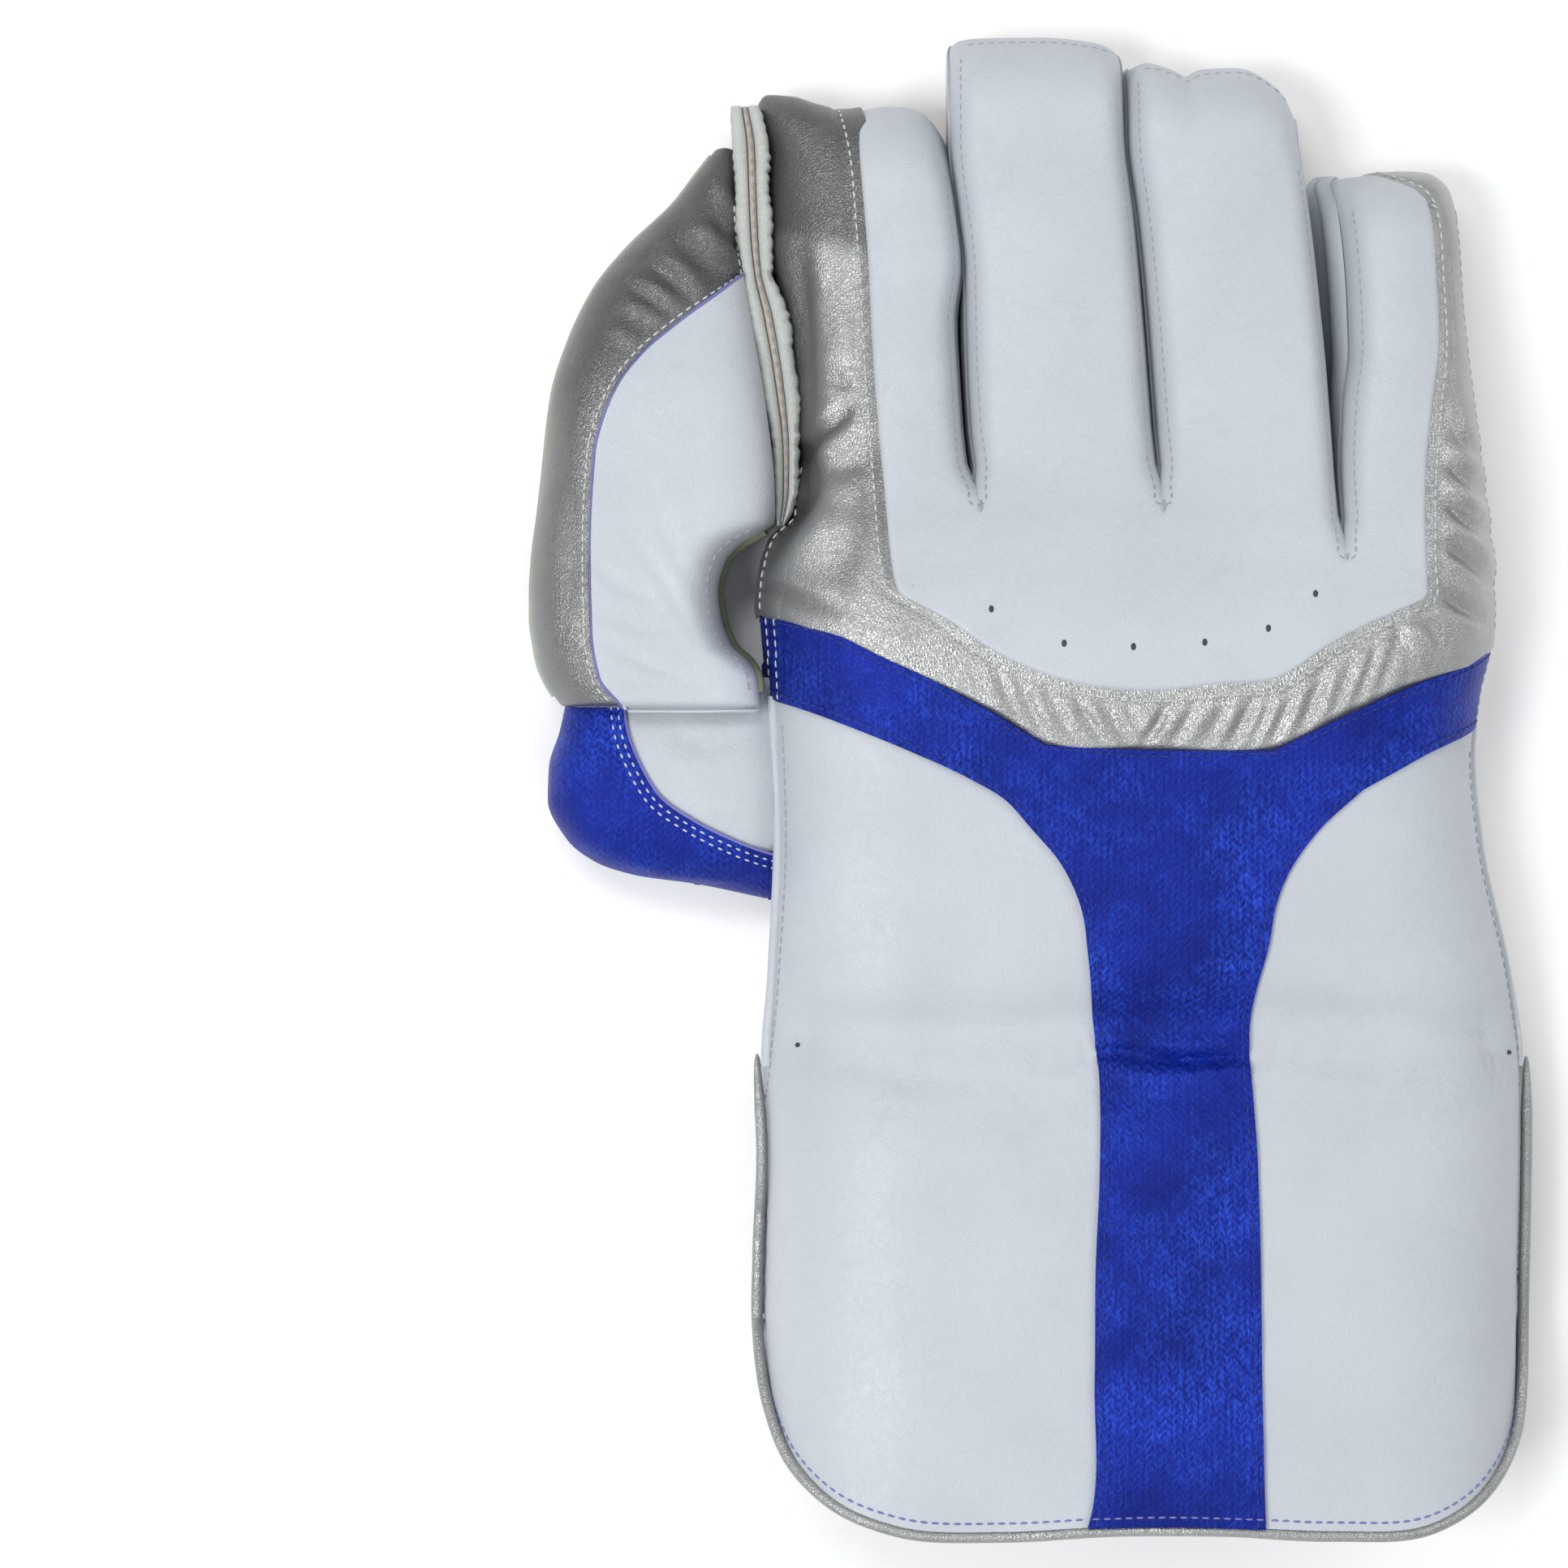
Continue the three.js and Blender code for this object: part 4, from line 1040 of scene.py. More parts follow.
# %% Stitches on the back
def on_back(finger, x, y):
    """Points and normals on the finished back above places in the plan."""
    z = finger_height(finger, x, y)
    slope_x = (finger_height(finger, x + 0.1, y) - finger_height(finger, x - 0.1, y)) / 0.2
    slope_y = (finger_height(finger, x, y + 0.1) - finger_height(finger, x, y - 0.1)) / 0.2
    n = unit(np.stack([-slope_x, -slope_y, np.ones_like(z)], -1))
    return np.concatenate([np.stack([x, y, z], -1) + n * (LIFT - 0.1), n], -1)


def last_stitch(finger, edge):
    """How far up a finger the stitches of a slit reach."""
    return (float(finger_tip(finger, edge(y_at(2.6)))) if finger < 3 else y_at(2.66)) - 5


# Each slit is stitched down one side, round its end in a U, and up the other side.
for one, other in ((0, 1), (1, 2), (2, 3)):
    start = SLIT_END[other] + 2
    first, second = finger_edges[one][1], finger_edges[other][0]
    down_y = np.linspace(last_stitch(one, first), start, 120)
    up_y = np.linspace(start, last_stitch(other, second), 120)
    stitch("grey", on_back(one, first(down_y) - SLIT_STITCH, down_y), pitch=2.3, half=0.8)
    stitch("grey", on_back(other, second(up_y) + SLIT_STITCH, up_y), pitch=2.3, half=0.8)
    turn = np.linspace(np.pi, 2 * np.pi, 24)
    wide = (float(second(start)) - float(first(start))) / 2 + SLIT_STITCH
    centre = (float(second(start)) + float(first(start))) / 2
    arc_x, arc_y = centre + wide * np.cos(turn), start + (wide + 0.6) * np.sin(turn)
    on_one = (arc_x < float(first(SLIT_END[other] - 1)))[:, None]
    arc = np.where(on_one, on_back(one, arc_x, arc_y), on_back(other, arc_x, arc_y))
    stitch("grey", arc, pitch=2.0, half=0.75)
for finger in (1, 2):
    edge_left, edge_right = (float(e(y_at(2.85))) for e in finger_edges[finger][:2])
    across = np.linspace(edge_left + 2.2, edge_right - 2.2, 80)
    stitch("grey", on_back(finger, across, finger_tip(finger, across) - TIP_STITCH), pitch=2.3, half=0.8)

# %% [markdown]
# ## The silver yoke
# Silver leather runs round the white panel: up the index finger's side wall, below the white, and up
# the little finger's side. It is a strip ruled from the white seam out to the glove's edge or to just
# under the blue, where it dips, and it carries most of the folds.

# %% Silver yoke
def eased(t):
    """From 0 to 1 with soft ends, held outside."""
    t = np.clip(t, 0, 1)
    return t * t * (3 - 2 * t)


def shifted(line, distance):
    """A line moved sideways to its left by a distance."""
    d = unit(np.gradient(line, axis=0))
    return line + np.stack([-d[:, 1], d[:, 0]], -1) * distance


INDEX_ROWS, BELOW_ROWS, LITTLE_ROWS, END_ROWS = 190, 260, 150, 30  # rows along the strip's four stretches
COVERED = slice(INDEX_ROWS, INDEX_ROWS + BELOW_ROWS - 1)  # those whose outer end lies under the blue
UNDER_BLUE, UNDER_WHITE = 2.4, 3.0  # how far the strip reaches under its neighbours
SILVER_LIFT = 1.3
white_edge = np.concatenate([
    curve(white_left[::-1], even(INDEX_ROWS)), curve(white_bottom, even(BELOW_ROWS))[1:],
    curve(white_right, even(LITTLE_ROWS))[1:], curve(white_little_top[:4], even(END_ROWS))[1:],
])
left_y = rows_at(2.835, 1.808, INDEX_ROWS)
left_side = np.stack([body_left(left_y), left_y], -1)
right_y = rows_at(1.751, 2.62, LITTLE_ROWS)
right_side = np.stack([body_right(right_y), right_y], -1)
little_end = plan([(0.794, 2.62), (0.783, 2.66), (0.76, 2.69), (0.669, 2.71), (0.6, 2.708), (0.575, 2.704)])
top_line = curve(blue_top, even(BELOW_ROWS))
places = np.arange(BELOW_ROWS)
from_ends = np.clip(np.minimum(places, places[::-1]) / 14, 0, 1)
under_blue = top_line + (shifted(top_line, -UNDER_BLUE) - top_line) * from_ends[:, None]
outer_edge = np.concatenate([left_side, under_blue[1:], right_side[1:], curve(little_end, even(END_ROWS))[1:]])
hidden = np.zeros((len(outer_edge), 1))
hidden[COVERED, 0] = from_ends[1:]
yoke = between(shifted(white_edge, UNDER_WHITE), outer_edge, close_end(46))
yx, yy = yoke[..., 0], yoke[..., 1]
first_y = np.interp(yx, yoke[0, ::-1, 0], yoke[0, ::-1, 1])
tall = np.clip((yy - y_at(2.55)) / (first_y - y_at(2.55)), 0, 1) ** 2 * (yx < x_at(-0.6))
yoke[..., 1] = yy = yy + tall * (tip_y(0, yx) - first_y)
tip = np.where(yx < x_at(-0.5), tip_y(0, yx), np.where(yx > x_at(0.45), tip_y(3, yx), 1e3))
fall = shoulder((tip - yy) / TIP_RISE)
height = SEAM + (dome(back_form, yx, yy) - SEAM) * fall
# %% [markdown]
# Most folds of the glove are in the silver. Those of the side walls are drawn one by one, and the
# gathers below the white are a row of like folds that lean outwards from the middle.

# %% Folds and gathers in the silver
side_folds = [
    ([(-0.83, 2.278), (-0.79, 2.266), (-0.735, 2.236)], 0.8, 1.4),
    ([(-0.74, 2.205), (-0.765, 2.185), (-0.81, 2.155), (-0.86, 2.115)], 1.6, 1.8),
    ([(-0.83, 2.07), (-0.77, 2.075), (-0.69, 2.085)], 0.8, 2.4),
    ([(-0.865, 2.55), (-0.858, 2.35), (-0.85, 2.2), (-0.856, 2.03)], 2.0, 2.3),
    ([(-0.857, 2.13), (-0.849, 2.03), (-0.896, 1.966), (-0.955, 1.90)], 2.0, 2.8),
    ([(-0.96, 1.855), (-0.88, 1.83), (-0.79, 1.80)], 1.0, 1.9),
    ([(-0.78, 2.42), (-0.765, 2.35), (-0.78, 2.28)], -0.9, 3.2),
    ([(-0.74, 2.05), (-0.80, 1.97), (-0.90, 1.90)], -1.3, 4.2),
    ([(-0.93, 2.30), (-0.90, 2.18), (-0.92, 2.06)], 1.2, 1.8),
]


def strip_fold(place, lean, depth, width):
    """A gather across the strip between the white panel and the blue, leaning by a share."""
    upper = np.interp(place + lean, [-0.62, -0.379, -0.218, -0.083, 0.158, 0.289, 0.428, 0.655],
                      [1.826, 1.718, 1.673, 1.658, 1.669, 1.678, 1.742, 1.822])
    lower = np.interp(place - lean, [-0.685, -0.497, -0.275, -0.03, 0.289, 0.491, 0.63, 0.757],
                      [1.724, 1.657, 1.562, 1.553, 1.552, 1.624, 1.669, 1.705])
    middle = (place + 0.2 * lean, (upper + lower) / 2)
    return [(place + lean, upper - 0.004), middle, (place - lean, lower + 0.006)], depth, width


gathers = [
    strip_fold(-0.36 + 0.062 * k + 0.012 * math.sin(5 * k), -0.045 if k < 6 else 0.035,
               0.75 + 0.3 * math.sin(2.3 * k), 1.35 + 0.25 * math.sin(1.7 * k))
    for k in range(16)
]
right_folds = [
    ([(0.70, 1.93), (0.78, 1.90), (0.86, 1.86)], 1.9, 1.8),
    ([(0.70, 2.02), (0.77, 1.975), (0.85, 1.95)], 2.0, 1.8),
    ([(0.71, 2.10), (0.78, 2.05), (0.84, 2.03)], 1.7, 1.7),
    ([(0.72, 2.20), (0.77, 2.13), (0.83, 2.11)], 1.2, 1.7),
    ([(0.68, 1.85), (0.74, 1.82), (0.84, 1.79)], 1.6, 1.7),
    ([(0.55, 1.79), (0.60, 1.75), (0.62, 1.69)], 0.9, 1.8),
    ([(0.63, 1.81), (0.68, 1.77), (0.72, 1.72)], 0.9, 1.8),
]
# %% [markdown]
# The folds fade out beside both seams, where stitches hold the leather flat. Silver turned from the
# light looks nearly black, so the mesh carries a shade for the material to read.

# %% The finished silver yoke
ruffle = folds(yx, yy, side_folds + gathers + right_folds)
height = height + swell(yx, yy)
height[: COVERED.start, -1] = height[COVERED.stop - 1 :, -1] = height[0] = SEAM  # sewn to the facing there
silver_grid = raised(yoke, height)
inward = depth_in(silver_grid, ["left"])
quiet = np.clip((inward - 5.0) / 4, 0, 1)
groove = -0.35 * np.exp(-(((inward - 6.4) / 0.9) ** 2))
from_blue = depth_in(silver_grid, ["right"])
dip = -1.6 * hidden * (1 - eased((from_blue - 1.8) / 2.6))
quiet = quiet * (1 - hidden * (1 - eased((from_blue - 1.8) / 3.5)))
silver_grid = pushed(silver_grid, turned_edge(silver_grid, SILVER_LIFT, ["right"]) + groove + dip
                     + ruffle * quiet * np.clip(fall * 1.3 - 0.2, 0, 1))
silver = panel("silver_yoke_sewn", [silver_grid], wall=1.2)


def silver_shade(x, y):
    """Painted shade where the silver turns from the light: the index wall's upper part, its outer slope, the strip
    outside the white's edge, and the bottoms of the deepest folds."""
    wall = 1 - eased((x - x_at(-0.66)) / 3)
    upper = eased((y - y_at(2.515)) / 6 + (x - x_at(-0.78)) / 30)
    slope = (1 - eased((x - x_at(-0.868)) / 4)) * eased((y - y_at(1.9)) / 12)
    strip = wall * (1 - eased((left_of(y) - 1.6 - x) / 1.2)) * (y > y_at(1.84))
    valleys = sum(share * np.exp(-((distance_to(plan(line), x, y)[0] / width) ** 2)) for line, share, width in (
        ([(-0.857, 2.13), (-0.849, 2.03), (-0.896, 1.966), (-0.955, 1.90)], 0.45, 2.2),
        ([(-0.74, 2.205), (-0.765, 2.185), (-0.81, 2.155), (-0.86, 2.115)], 0.4, 1.5),
        ([(-0.96, 1.855), (-0.88, 1.83), (-0.79, 1.80)], 0.35, 1.6),
        ([(-0.76, 1.86), (-0.72, 1.95), (-0.715, 2.08)], 0.4, 3.0),
    ))
    return wall * np.maximum(0.85 * upper, 0.55 * slope) + 0.5 * strip * (1 - upper) + valleys


shade(silver, silver_shade)
sewn_in(silver, painted_shade_silver, "silver_leather", "silver_yoke")
stitch("white", inset(silver_grid, "left", 5.2), 0.012, 0.985, pitch=2.5)
end_x, end_y = silver_grid[:, -1, 0], silver_grid[:, -1, 1]
lower_left = (end_y < y_at(2.1)) & (end_y > y_at(1.81)) & (end_x < x_at(-0.8))
stitch("white", inset(silver_grid[lower_left], "right", 2.2))
right_rows = slice(COVERED.stop + 3, COVERED.stop + LITTLE_ROWS + 1)
stitch("white", inset(silver_grid[right_rows], "right", 2.2), pitch=2.5)

# %% [markdown]
# ## Blue yoke and cuff
# The blue leather is one Y: two arms over the knuckles' lower edge and a stripe down the cuff. The
# two white cuff panels run under it. Each is a patch between its four borders.

# %% Blue yoke and the cuff's white panels
def edge_run(which, low, high, count=40):
    """The glove's left (0) or right (1) edge between two shares along it."""
    y = rows_at(low, high, count)
    return np.stack([section(back_form, y)[which], y], -1)


def wrist(x, y):
    """The bend at the wrist: a broad hollow across the cuff, with a few fine creases in it."""
    off = y - y_at(0.985) - 1.5 * np.sin(x / 23)
    broad = -1.0 * np.exp(-((off / 15) ** 2)) - 3.0 * np.exp(-(((off - 7) / 7) ** 2))
    fine = 0
    for k, (place, depth) in enumerate(((0, 1.2), (5.5, 0.5), (-4.5, 0.6), (-9, 0.3), (10, 0.3), (-2, 0.5))):
        line = off - place - 1.2 * np.sin(x / (13 + 2 * k) + k)
        fine = fine - depth * np.exp(-((line / 1.15) ** 2)) * (0.5 + 0.5 * np.sin(x / (8 + k) + 2.1 * k))
    return broad + fine


def cuff_swell(x, y):
    """Slow waves of the stiff cuff."""
    return 1.1 * soft_noise(x, y, 120, 11) + 0.25 * soft_noise(x, y, 38, 12)


def cuff_relief(x, y):
    """Wrist bend and waves together, gone at the glove's side edges."""
    relief = wrist(x, y) + cuff_swell(x, y) * shoulder((y_at(1.5) - y) / 60)
    return relief * eased(np.minimum(x - body_left(y), body_right(y) - x) / 9)


def laid(flat, lift):
    """A plan grid laid on the back of the glove with its lift and folds."""
    x, y = flat[..., 0], flat[..., 1]
    return pushed(raised(flat, dome(back_form, x, y)), lift + cuff_relief(x, y))


def split(line, y):
    """A seam cut in two where it passes a height in the plan."""
    k = int(np.argmax(line[:, 1] > y))
    return line[: k + 1], line[k:]


# %% [markdown]
# The cuff's outline carries the piping. The white panels stop short of it by the piping's width and
# come out to the glove's edge only above the piping's ends.

# %% The cuff's outline and white panels
cuff_path = plan(
    [(-1.006, 0.975), (-0.99, 0.776), (-1.0, 0.554), (-1.0, 0.386), (-0.971, 0.242), (-0.916, 0.141),
     (-0.81, 0.063), (-0.649, 0.014), (-0.379, 0.002), (-0.109, 0.014), (0.158, 0.014), (0.428, 0.003),
     (0.698, 0.019), (0.83, 0.075), (0.939, 0.186), (0.98, 0.331), (0.986, 0.554), (0.996, 0.888), (1.0, 0.975)]
)
rim = curve(cuff_path, even(260))
rim_left, rim_right = rim[:70], rim[190:]  # its stretches up both sides
HEM_BACK = 2.7  # the panels stop short of the outline by the piping's width


def panel_side(which, high):
    """A cuff panel's side border: under the piping at first, then out to the glove's edge above it."""
    run = edge_run(which, 0.43, high, 60)
    y = run[:, 1]
    toward = 1 if which == 0 else -1
    low = rim_left[::-1] if which == 0 else rim_right
    piped = np.interp(y, low[:, 1], low[:, 0]) + toward * (0.9 + 1.8 * (1 - eased((y - y_at(0.42)) / 14)))
    run[:, 0] = piped + (run[:, 0] - piped) * eased((y - y_at(0.87)) / 12)
    return run


def down_to_seam(border):
    """Brings a side border down to the seam's height a little above the hem's corner."""
    down = eased((border[:, 1] - y_at(0.44)) / 14)
    border[:, 2] += (SEAM - border[:, 2]) * down


def cuff_panel(name, bottom, top, left, right, outer_column):
    """One white panel of the cuff, from its four borders; its outer column is a side of the glove."""
    grid = laid(patch(bottom, top, left, right, close_ends(60), close_ends(110)), 0.0)
    down_to_seam(grid[:, outer_column])
    sewn_in(panel(name + "_sewn", [grid], wall=1.6), white_leather, "white_leather", name)
    return grid


hem_left_in, hem_middle_in, hem_right_in = (
    shifted(curve(hem, even(60)), HEM_BACK) for hem in (hem_left, hem_middle, hem_right)
)
blue_thumb[0] = hem_left_in[-1] = hem_middle_in[0]
blue_outer[0] = hem_right_in[0] = hem_middle_in[-1]
thumb_low, thumb_high = split(blue_thumb, y_at(1.40))
outer_low, outer_high = split(blue_outer, y_at(1.40))
thumb_side = np.concatenate([hem_left_in[:1], panel_side(0, 1.65)])
outer_side = np.concatenate([hem_right_in[-1:], panel_side(1, 1.60)])
thumb_panel_grid = cuff_panel("cuff_panel_thumb", hem_left_in, thumb_high[::-1], thumb_side, thumb_low, 0)
outer_panel_grid = cuff_panel("cuff_panel_outer", hem_right_in, outer_high, outer_low, outer_side, -1)

# %% [markdown]
# The blue Y is four patches: the stripe, a centre piece above it, and the two arms.

# %% Blue Y
stripe_low, arm_thumb = split(blue_thumb, y_at(1.46))
stripe_right, arm_outer = split(blue_outer, y_at(1.46))
fork = curve(np.array([arm_thumb[0], arm_outer[0]]), even(60))
top_mid_left, top_mid_right = plan([(-0.275, 1.565)])[0], plan([(0.289, 1.552)])[0]
k_left = int(np.argmax(blue_top[:, 0] >= top_mid_left[0] - 0.1))
k_right = int(np.argmax(blue_top[:, 0] >= top_mid_right[0] - 0.1))
stripe = patch(hem_middle_in, fork, stripe_low, stripe_right, close_ends(40), even(150))
centre = patch(fork, blue_top[k_left : k_right + 1], np.array([fork[0], blue_top[k_left]]),
               np.array([fork[-1], blue_top[k_right]]), close_ends(40), even(16))
left_arm = patch(arm_thumb[::-1], blue_top[: k_left + 1], np.array([arm_thumb[-1], blue_top[0]]),
                 np.array([fork[0], blue_top[k_left]]), 1 - close_end(60)[::-1], even(16))
right_arm = patch(arm_outer, blue_top[k_right:], np.array([fork[-1], blue_top[k_right]]),
                  np.array([arm_outer[-1], blue_top[-1]]), close_end(60), even(16))


BLUE_LIFT = 1.2


def blue_lift(x, y):
    """The blue leather's own relief: a sharp fold at the wrist and a quilted unevenness."""
    dark_fold = fold(x, y, [(-0.13, 1.0), (0.06, 0.985), (0.24, 0.995)], 2.6, 1.7)
    inside = np.clip(np.minimum(x - body_left(y), body_right(y) - x) / 7, 0, 1)
    along_yoke = eased((y - y_at(1.42)) / 15)
    lift = BLUE_LIFT + 0.25 * soft_noise(x, y, 16, 21) + swell(x, y) * along_yoke
    return lift * (0.3 + 0.7 * inside) + dark_fold


stripe, centre, left_arm, right_arm = blue_grids = [
    laid(flat, blue_lift(flat[..., 0], flat[..., 1])) for flat in (stripe, centre, left_arm, right_arm)
]
meet(stripe[-1], centre[0])
meet(centre[:, 0], left_arm[:, -1])
meet(centre[:, -1], right_arm[:, 0])
blue = panel("blue_yoke_sewn", blue_grids, wall=1.2)
sewn_in(blue, blue_leather, "blue_leather", "blue_yoke")
for colour, grid, side, inward in (
    ("navy", stripe, "left", 1.6), ("navy", stripe, "right", 1.6),
    ("navy", left_arm, "bottom", 1.6), ("navy", right_arm, "bottom", 1.6),
    ("navy", left_arm, "top", 1.3), ("navy", centre, "top", 1.3), ("navy", right_arm, "top", 1.3),
    ("white", left_arm, "left", 1.5), ("white", left_arm, "left", 3.4), ("white", right_arm, "right", 2.0),
    ("purple", stripe, "bottom", 2.2),
):
    stitch(colour, inset(grid, side, inward))

# %% [markdown]
# ## The thumb
# The thumb is a pouch of its own: a white back, a silver wall gathered round the tip, and below its
# lip the glove's blue and white base goes in. Its hollow side leaves a D-shaped gap beside the hand.

# %% Thumb back and band
seam_x = across_at(band_seam)
ty = rows_at(1.631, 2.495, 120, close_ends)
t_left, t_right = seam_x(ty), section(stall_form, ty)[1]
t_right = np.maximum(t_right, t_left + 0.05)
flat = ruled(t_left, t_right, ty, close_ends(50))
x, y = flat[..., 0], flat[..., 1]
thumb_folds = [
    ([(-1.72, 1.90), (-1.6, 1.86), (-1.42, 1.83)], 0.5, 1.6),
    ([(-1.70, 1.81), (-1.5, 1.78), (-1.24, 1.79)], 0.5, 1.5),
    ([(-1.66, 1.75), (-1.46, 1.71), (-1.17, 1.67)], 0.45, 1.5),
    ([(-1.55, 1.95), (-1.4, 1.87), (-1.25, 1.75)], 0.35, 1.3),
    ([(-1.62, 1.67), (-1.35, 1.665), (-1.09, 1.655)], 0.4, 1.4),
    ([(-1.45, 2.05), (-1.35, 1.93), (-1.2, 1.82)], 0.3, 1.4),
]
LIP_CURL = 1.6  # how far the stall's lower edge turns in
lip_curl = -LIP_CURL * np.exp(-((y - ty[0]) ** 2))
kept = glide(y, y_at([1.63, 1.69, 1.735, 1.79, 1.92, 1.97, 2.03, 2.5]), [0.8, 0.75, 0.3, 0.12, 0.12, 0.35, 0.5, 0.5])
height = dome(stall_form, x, y, kept) + folds(x, y, thumb_folds) + 0.3 * soft_noise(x, y, 30, 31) + lip_curl
thumb_grid = raised(flat, height)
thumb_grid = pushed(thumb_grid, turned_edge(thumb_grid, 0.4, ["left"]))
thumb_back = panel("thumb_back_sewn", [thumb_grid], wall=1.3)
sewn_in(thumb_back, white_leather, "white_leather", "thumb_back")
gap_rows = (ty > y_at(1.66)) & (ty < y_at(1.97))
stitch("grey", inset(thumb_grid[gap_rows], "right", 2.4), pitch=2.4)

# %% [markdown]
# The band is the thumb's side wall. Where it goes round the tip, more leather is eased into a shorter
# seam, and it stands up in short gathers: folds with a negative depth.

# %% Thumb band and underside
by = rows_at(1.631, 2.76, 230, close_ends)
b_left = section(stall_form, by)[0]
b_right = np.where(by < y_at(2.495), seam_x(by), section(stall_form, by)[1])
flat = ruled(b_left, b_right, by, 1 - close_end(40)[::-1])
x, y = flat[..., 0], flat[..., 1]
band_gathers = [
    ([(-1.05, 2.49), (-1.158, 2.552), (-1.25, 2.60)], -1.5, 2.0),
    ([(-1.20, 2.43), (-1.316, 2.497), (-1.45, 2.545)], -1.6, 2.1),
    ([(-1.29, 2.40), (-1.401, 2.446), (-1.55, 2.49)], -1.3, 1.9),
    ([(-1.38, 2.375), (-1.489, 2.413), (-1.60, 2.44)], -0.9, 1.6),
    ([(-1.05, 2.55), (-1.121, 2.641), (-1.17, 2.70)], -1.0, 1.5),
    ([(-1.50, 2.33), (-1.58, 2.36), (-1.66, 2.38)], -0.6, 1.6),
    ([(-1.85, 2.12), (-1.8, 1.95), (-1.82, 1.78)], 0.6, 2.6),
]
height = dome(stall_form, x, y) + 0.25 * soft_noise(x, y, 24, 33)
band_top = raised(flat, height)
seam_guard = np.clip(depth_in(band_top, ["right"]) / 2.5, 0, 1)
band_curl = -LIP_CURL * np.exp(-((y - by[0]) ** 2))
band_top = pushed(band_top, 0.9 + folds(x, y, band_gathers) * seam_guard + band_curl)


def stall_sole(x, y, low_edge=0.5):
    """Underside of the thumb: seam height less the shoulders from both edges."""
    left, right = section(stall_form, y)[:2]
    width = np.minimum(9, (right - left) / 2)
    return SEAM - (SEAM - low_edge) * shoulder((x - left) / width) * shoulder((right - x) / width)


def sole_grid(left, right, y, height):
    """An underside: rows across at each y, turned to face down."""
    flat = ruled(left, right, y, close_ends(40))
    return raised(flat, height(flat[..., 0], flat[..., 1]))[:, ::-1]


def stall_sole_grid(y, low_edge=0.5):
    """The thumb's underside over a stretch of its length."""
    return sole_grid(*section(stall_form, y)[:2], y, partial(stall_sole, low_edge=low_edge))


band_sole = stall_sole_grid(rows_at(1.79, 1.962, 20), 0.7)
thumb_band = panel("thumb_band_sewn", [band_top, band_sole], wall=1.2)
# Painted shade: the band's silver is darkened all over, and more towards the thumb's tip, where it turns from the
# light.
shade(thumb_band, lambda x, y: 0.6 + 0.3 * eased((y - y_at(2.05)) / 30))
sewn_in(thumb_band, painted_shade_silver, "silver_leather", "thumb_band")
stitch("white", inset(band_top[:-45], "right", 1.3), 0.02, 0.99, pitch=2.3)
lip = panel("thumb_lip_sewn", [stall_sole_grid(rows_at(1.632, 1.785, 20), 0.6)], wall=1.6)
sewn_in(lip, white_leather, "white_leather", "thumb_lip")
thumb_pad = panel("thumb_facing_sewn", [stall_sole_grid(rows_at(1.966, 2.763, 90, close_ends))], wall=2.6)
sewn_in(thumb_pad, rubber, "dimpled_rubber", "thumb_facing")

# %% [markdown]
# The base below the lip: a blue crescent outside, with rows of stitches along its seam, and a white
# three-cornered piece inside. The same blue goes on under the hand as the gusset.

# %% Thumb base and gusset
out_y = rows_at(1.69, 1.283, 60)
outer_base = np.stack([section(base_form, out_y)[0], out_y], -1)
outer_base = np.concatenate([outer_base, plan([(-0.925, 1.275)])])
inner_base = np.concatenate([base_seam[:-1], plan([(-0.953, 1.364), (-0.925, 1.358)])])


def tucked(x):
    """The base dips where it goes in under the cuff's edge."""
    return -3.0 * np.exp(-(((x - x_at(-0.92)) / 5) ** 2))


crescent = between(curve(outer_base, even(110)), curve(inner_base, even(110)), 1 - close_end(40)[::-1])
x, y = crescent[..., 0], crescent[..., 1]
crescent_grid = raised(crescent, dome(base_form, x, y) + tucked(x) * 0.7 + 0.3 * soft_noise(x, y, 18, 41))
crescent_grid = pushed(crescent_grid[::-1], 0.7)
wy = rows_at(1.366, 1.69, 60, close_ends)
flat = ruled(across_at(base_seam[::-1])(wy), np.full(len(wy), x_at(-0.905)), wy, close_ends(40))
x, y = flat[..., 0], flat[..., 1]
base_folds = [
    ([(-1.4, 1.60), (-1.2, 1.56), (-1.0, 1.58)], 0.5, 2.4),
    ([(-1.3, 1.50), (-1.15, 1.46), (-1.0, 1.47)], -0.5, 3.0),
]
height = dome(base_form, x, y) + tucked(x) + folds(x, y, base_folds) + 0.25 * soft_noise(x, y, 22, 42)
white_base = panel("thumb_base_white_sewn", [pushed(raised(flat, height), 0.2)], wall=1.3)
sewn_in(white_base, white_leather, "white_leather", "thumb_base_white")

# %% [markdown]
# Three grids make the blue piece: the crescent that is seen, the bowl under it, and the slack gusset
# below the hand.

# %% Gusset
under_y = rows_at(1.283, 1.645, 50)
u_left = section(base_form, under_y)[0]
u_right = np.full(len(under_y), x_at(-0.93))


def base_sole(x, y):
    """Underside of the base: a shallow bowl that rises to the seam at its outer edge."""
    left = section(base_form, y)[0]
    return SEAM - (SEAM - 4.2) * shoulder((x - left) / 9)


base_sole_grid = sole_grid(u_left, u_right, under_y, base_sole)
facing_x = across_at(facing_seam)


def gusset_x(y):
    """The gusset's lower seam, across for a height in the plan."""
    return np.interp(y, gusset_seam[:, 1], gusset_seam[:, 0])


gy = rows_at(1.075, 2.055, 110)
g_left = np.where(gy < y_at(1.262), gusset_x(gy), np.minimum(body_left(gy), x_at(-0.9)))
g_right = facing_x(gy) + 4.0


def gusset_sole(x, y):
    """The gusset lies a little above the palm, and rises to the seam at the hand's own edge."""
    inner = 3.0 + 1.2 * soft_noise(x, y, 40, 43)
    side = np.where(y > y_at(1.66), shoulder((x - body_left(y)) / 9), 1.0)
    return SEAM - (SEAM - inner) * side


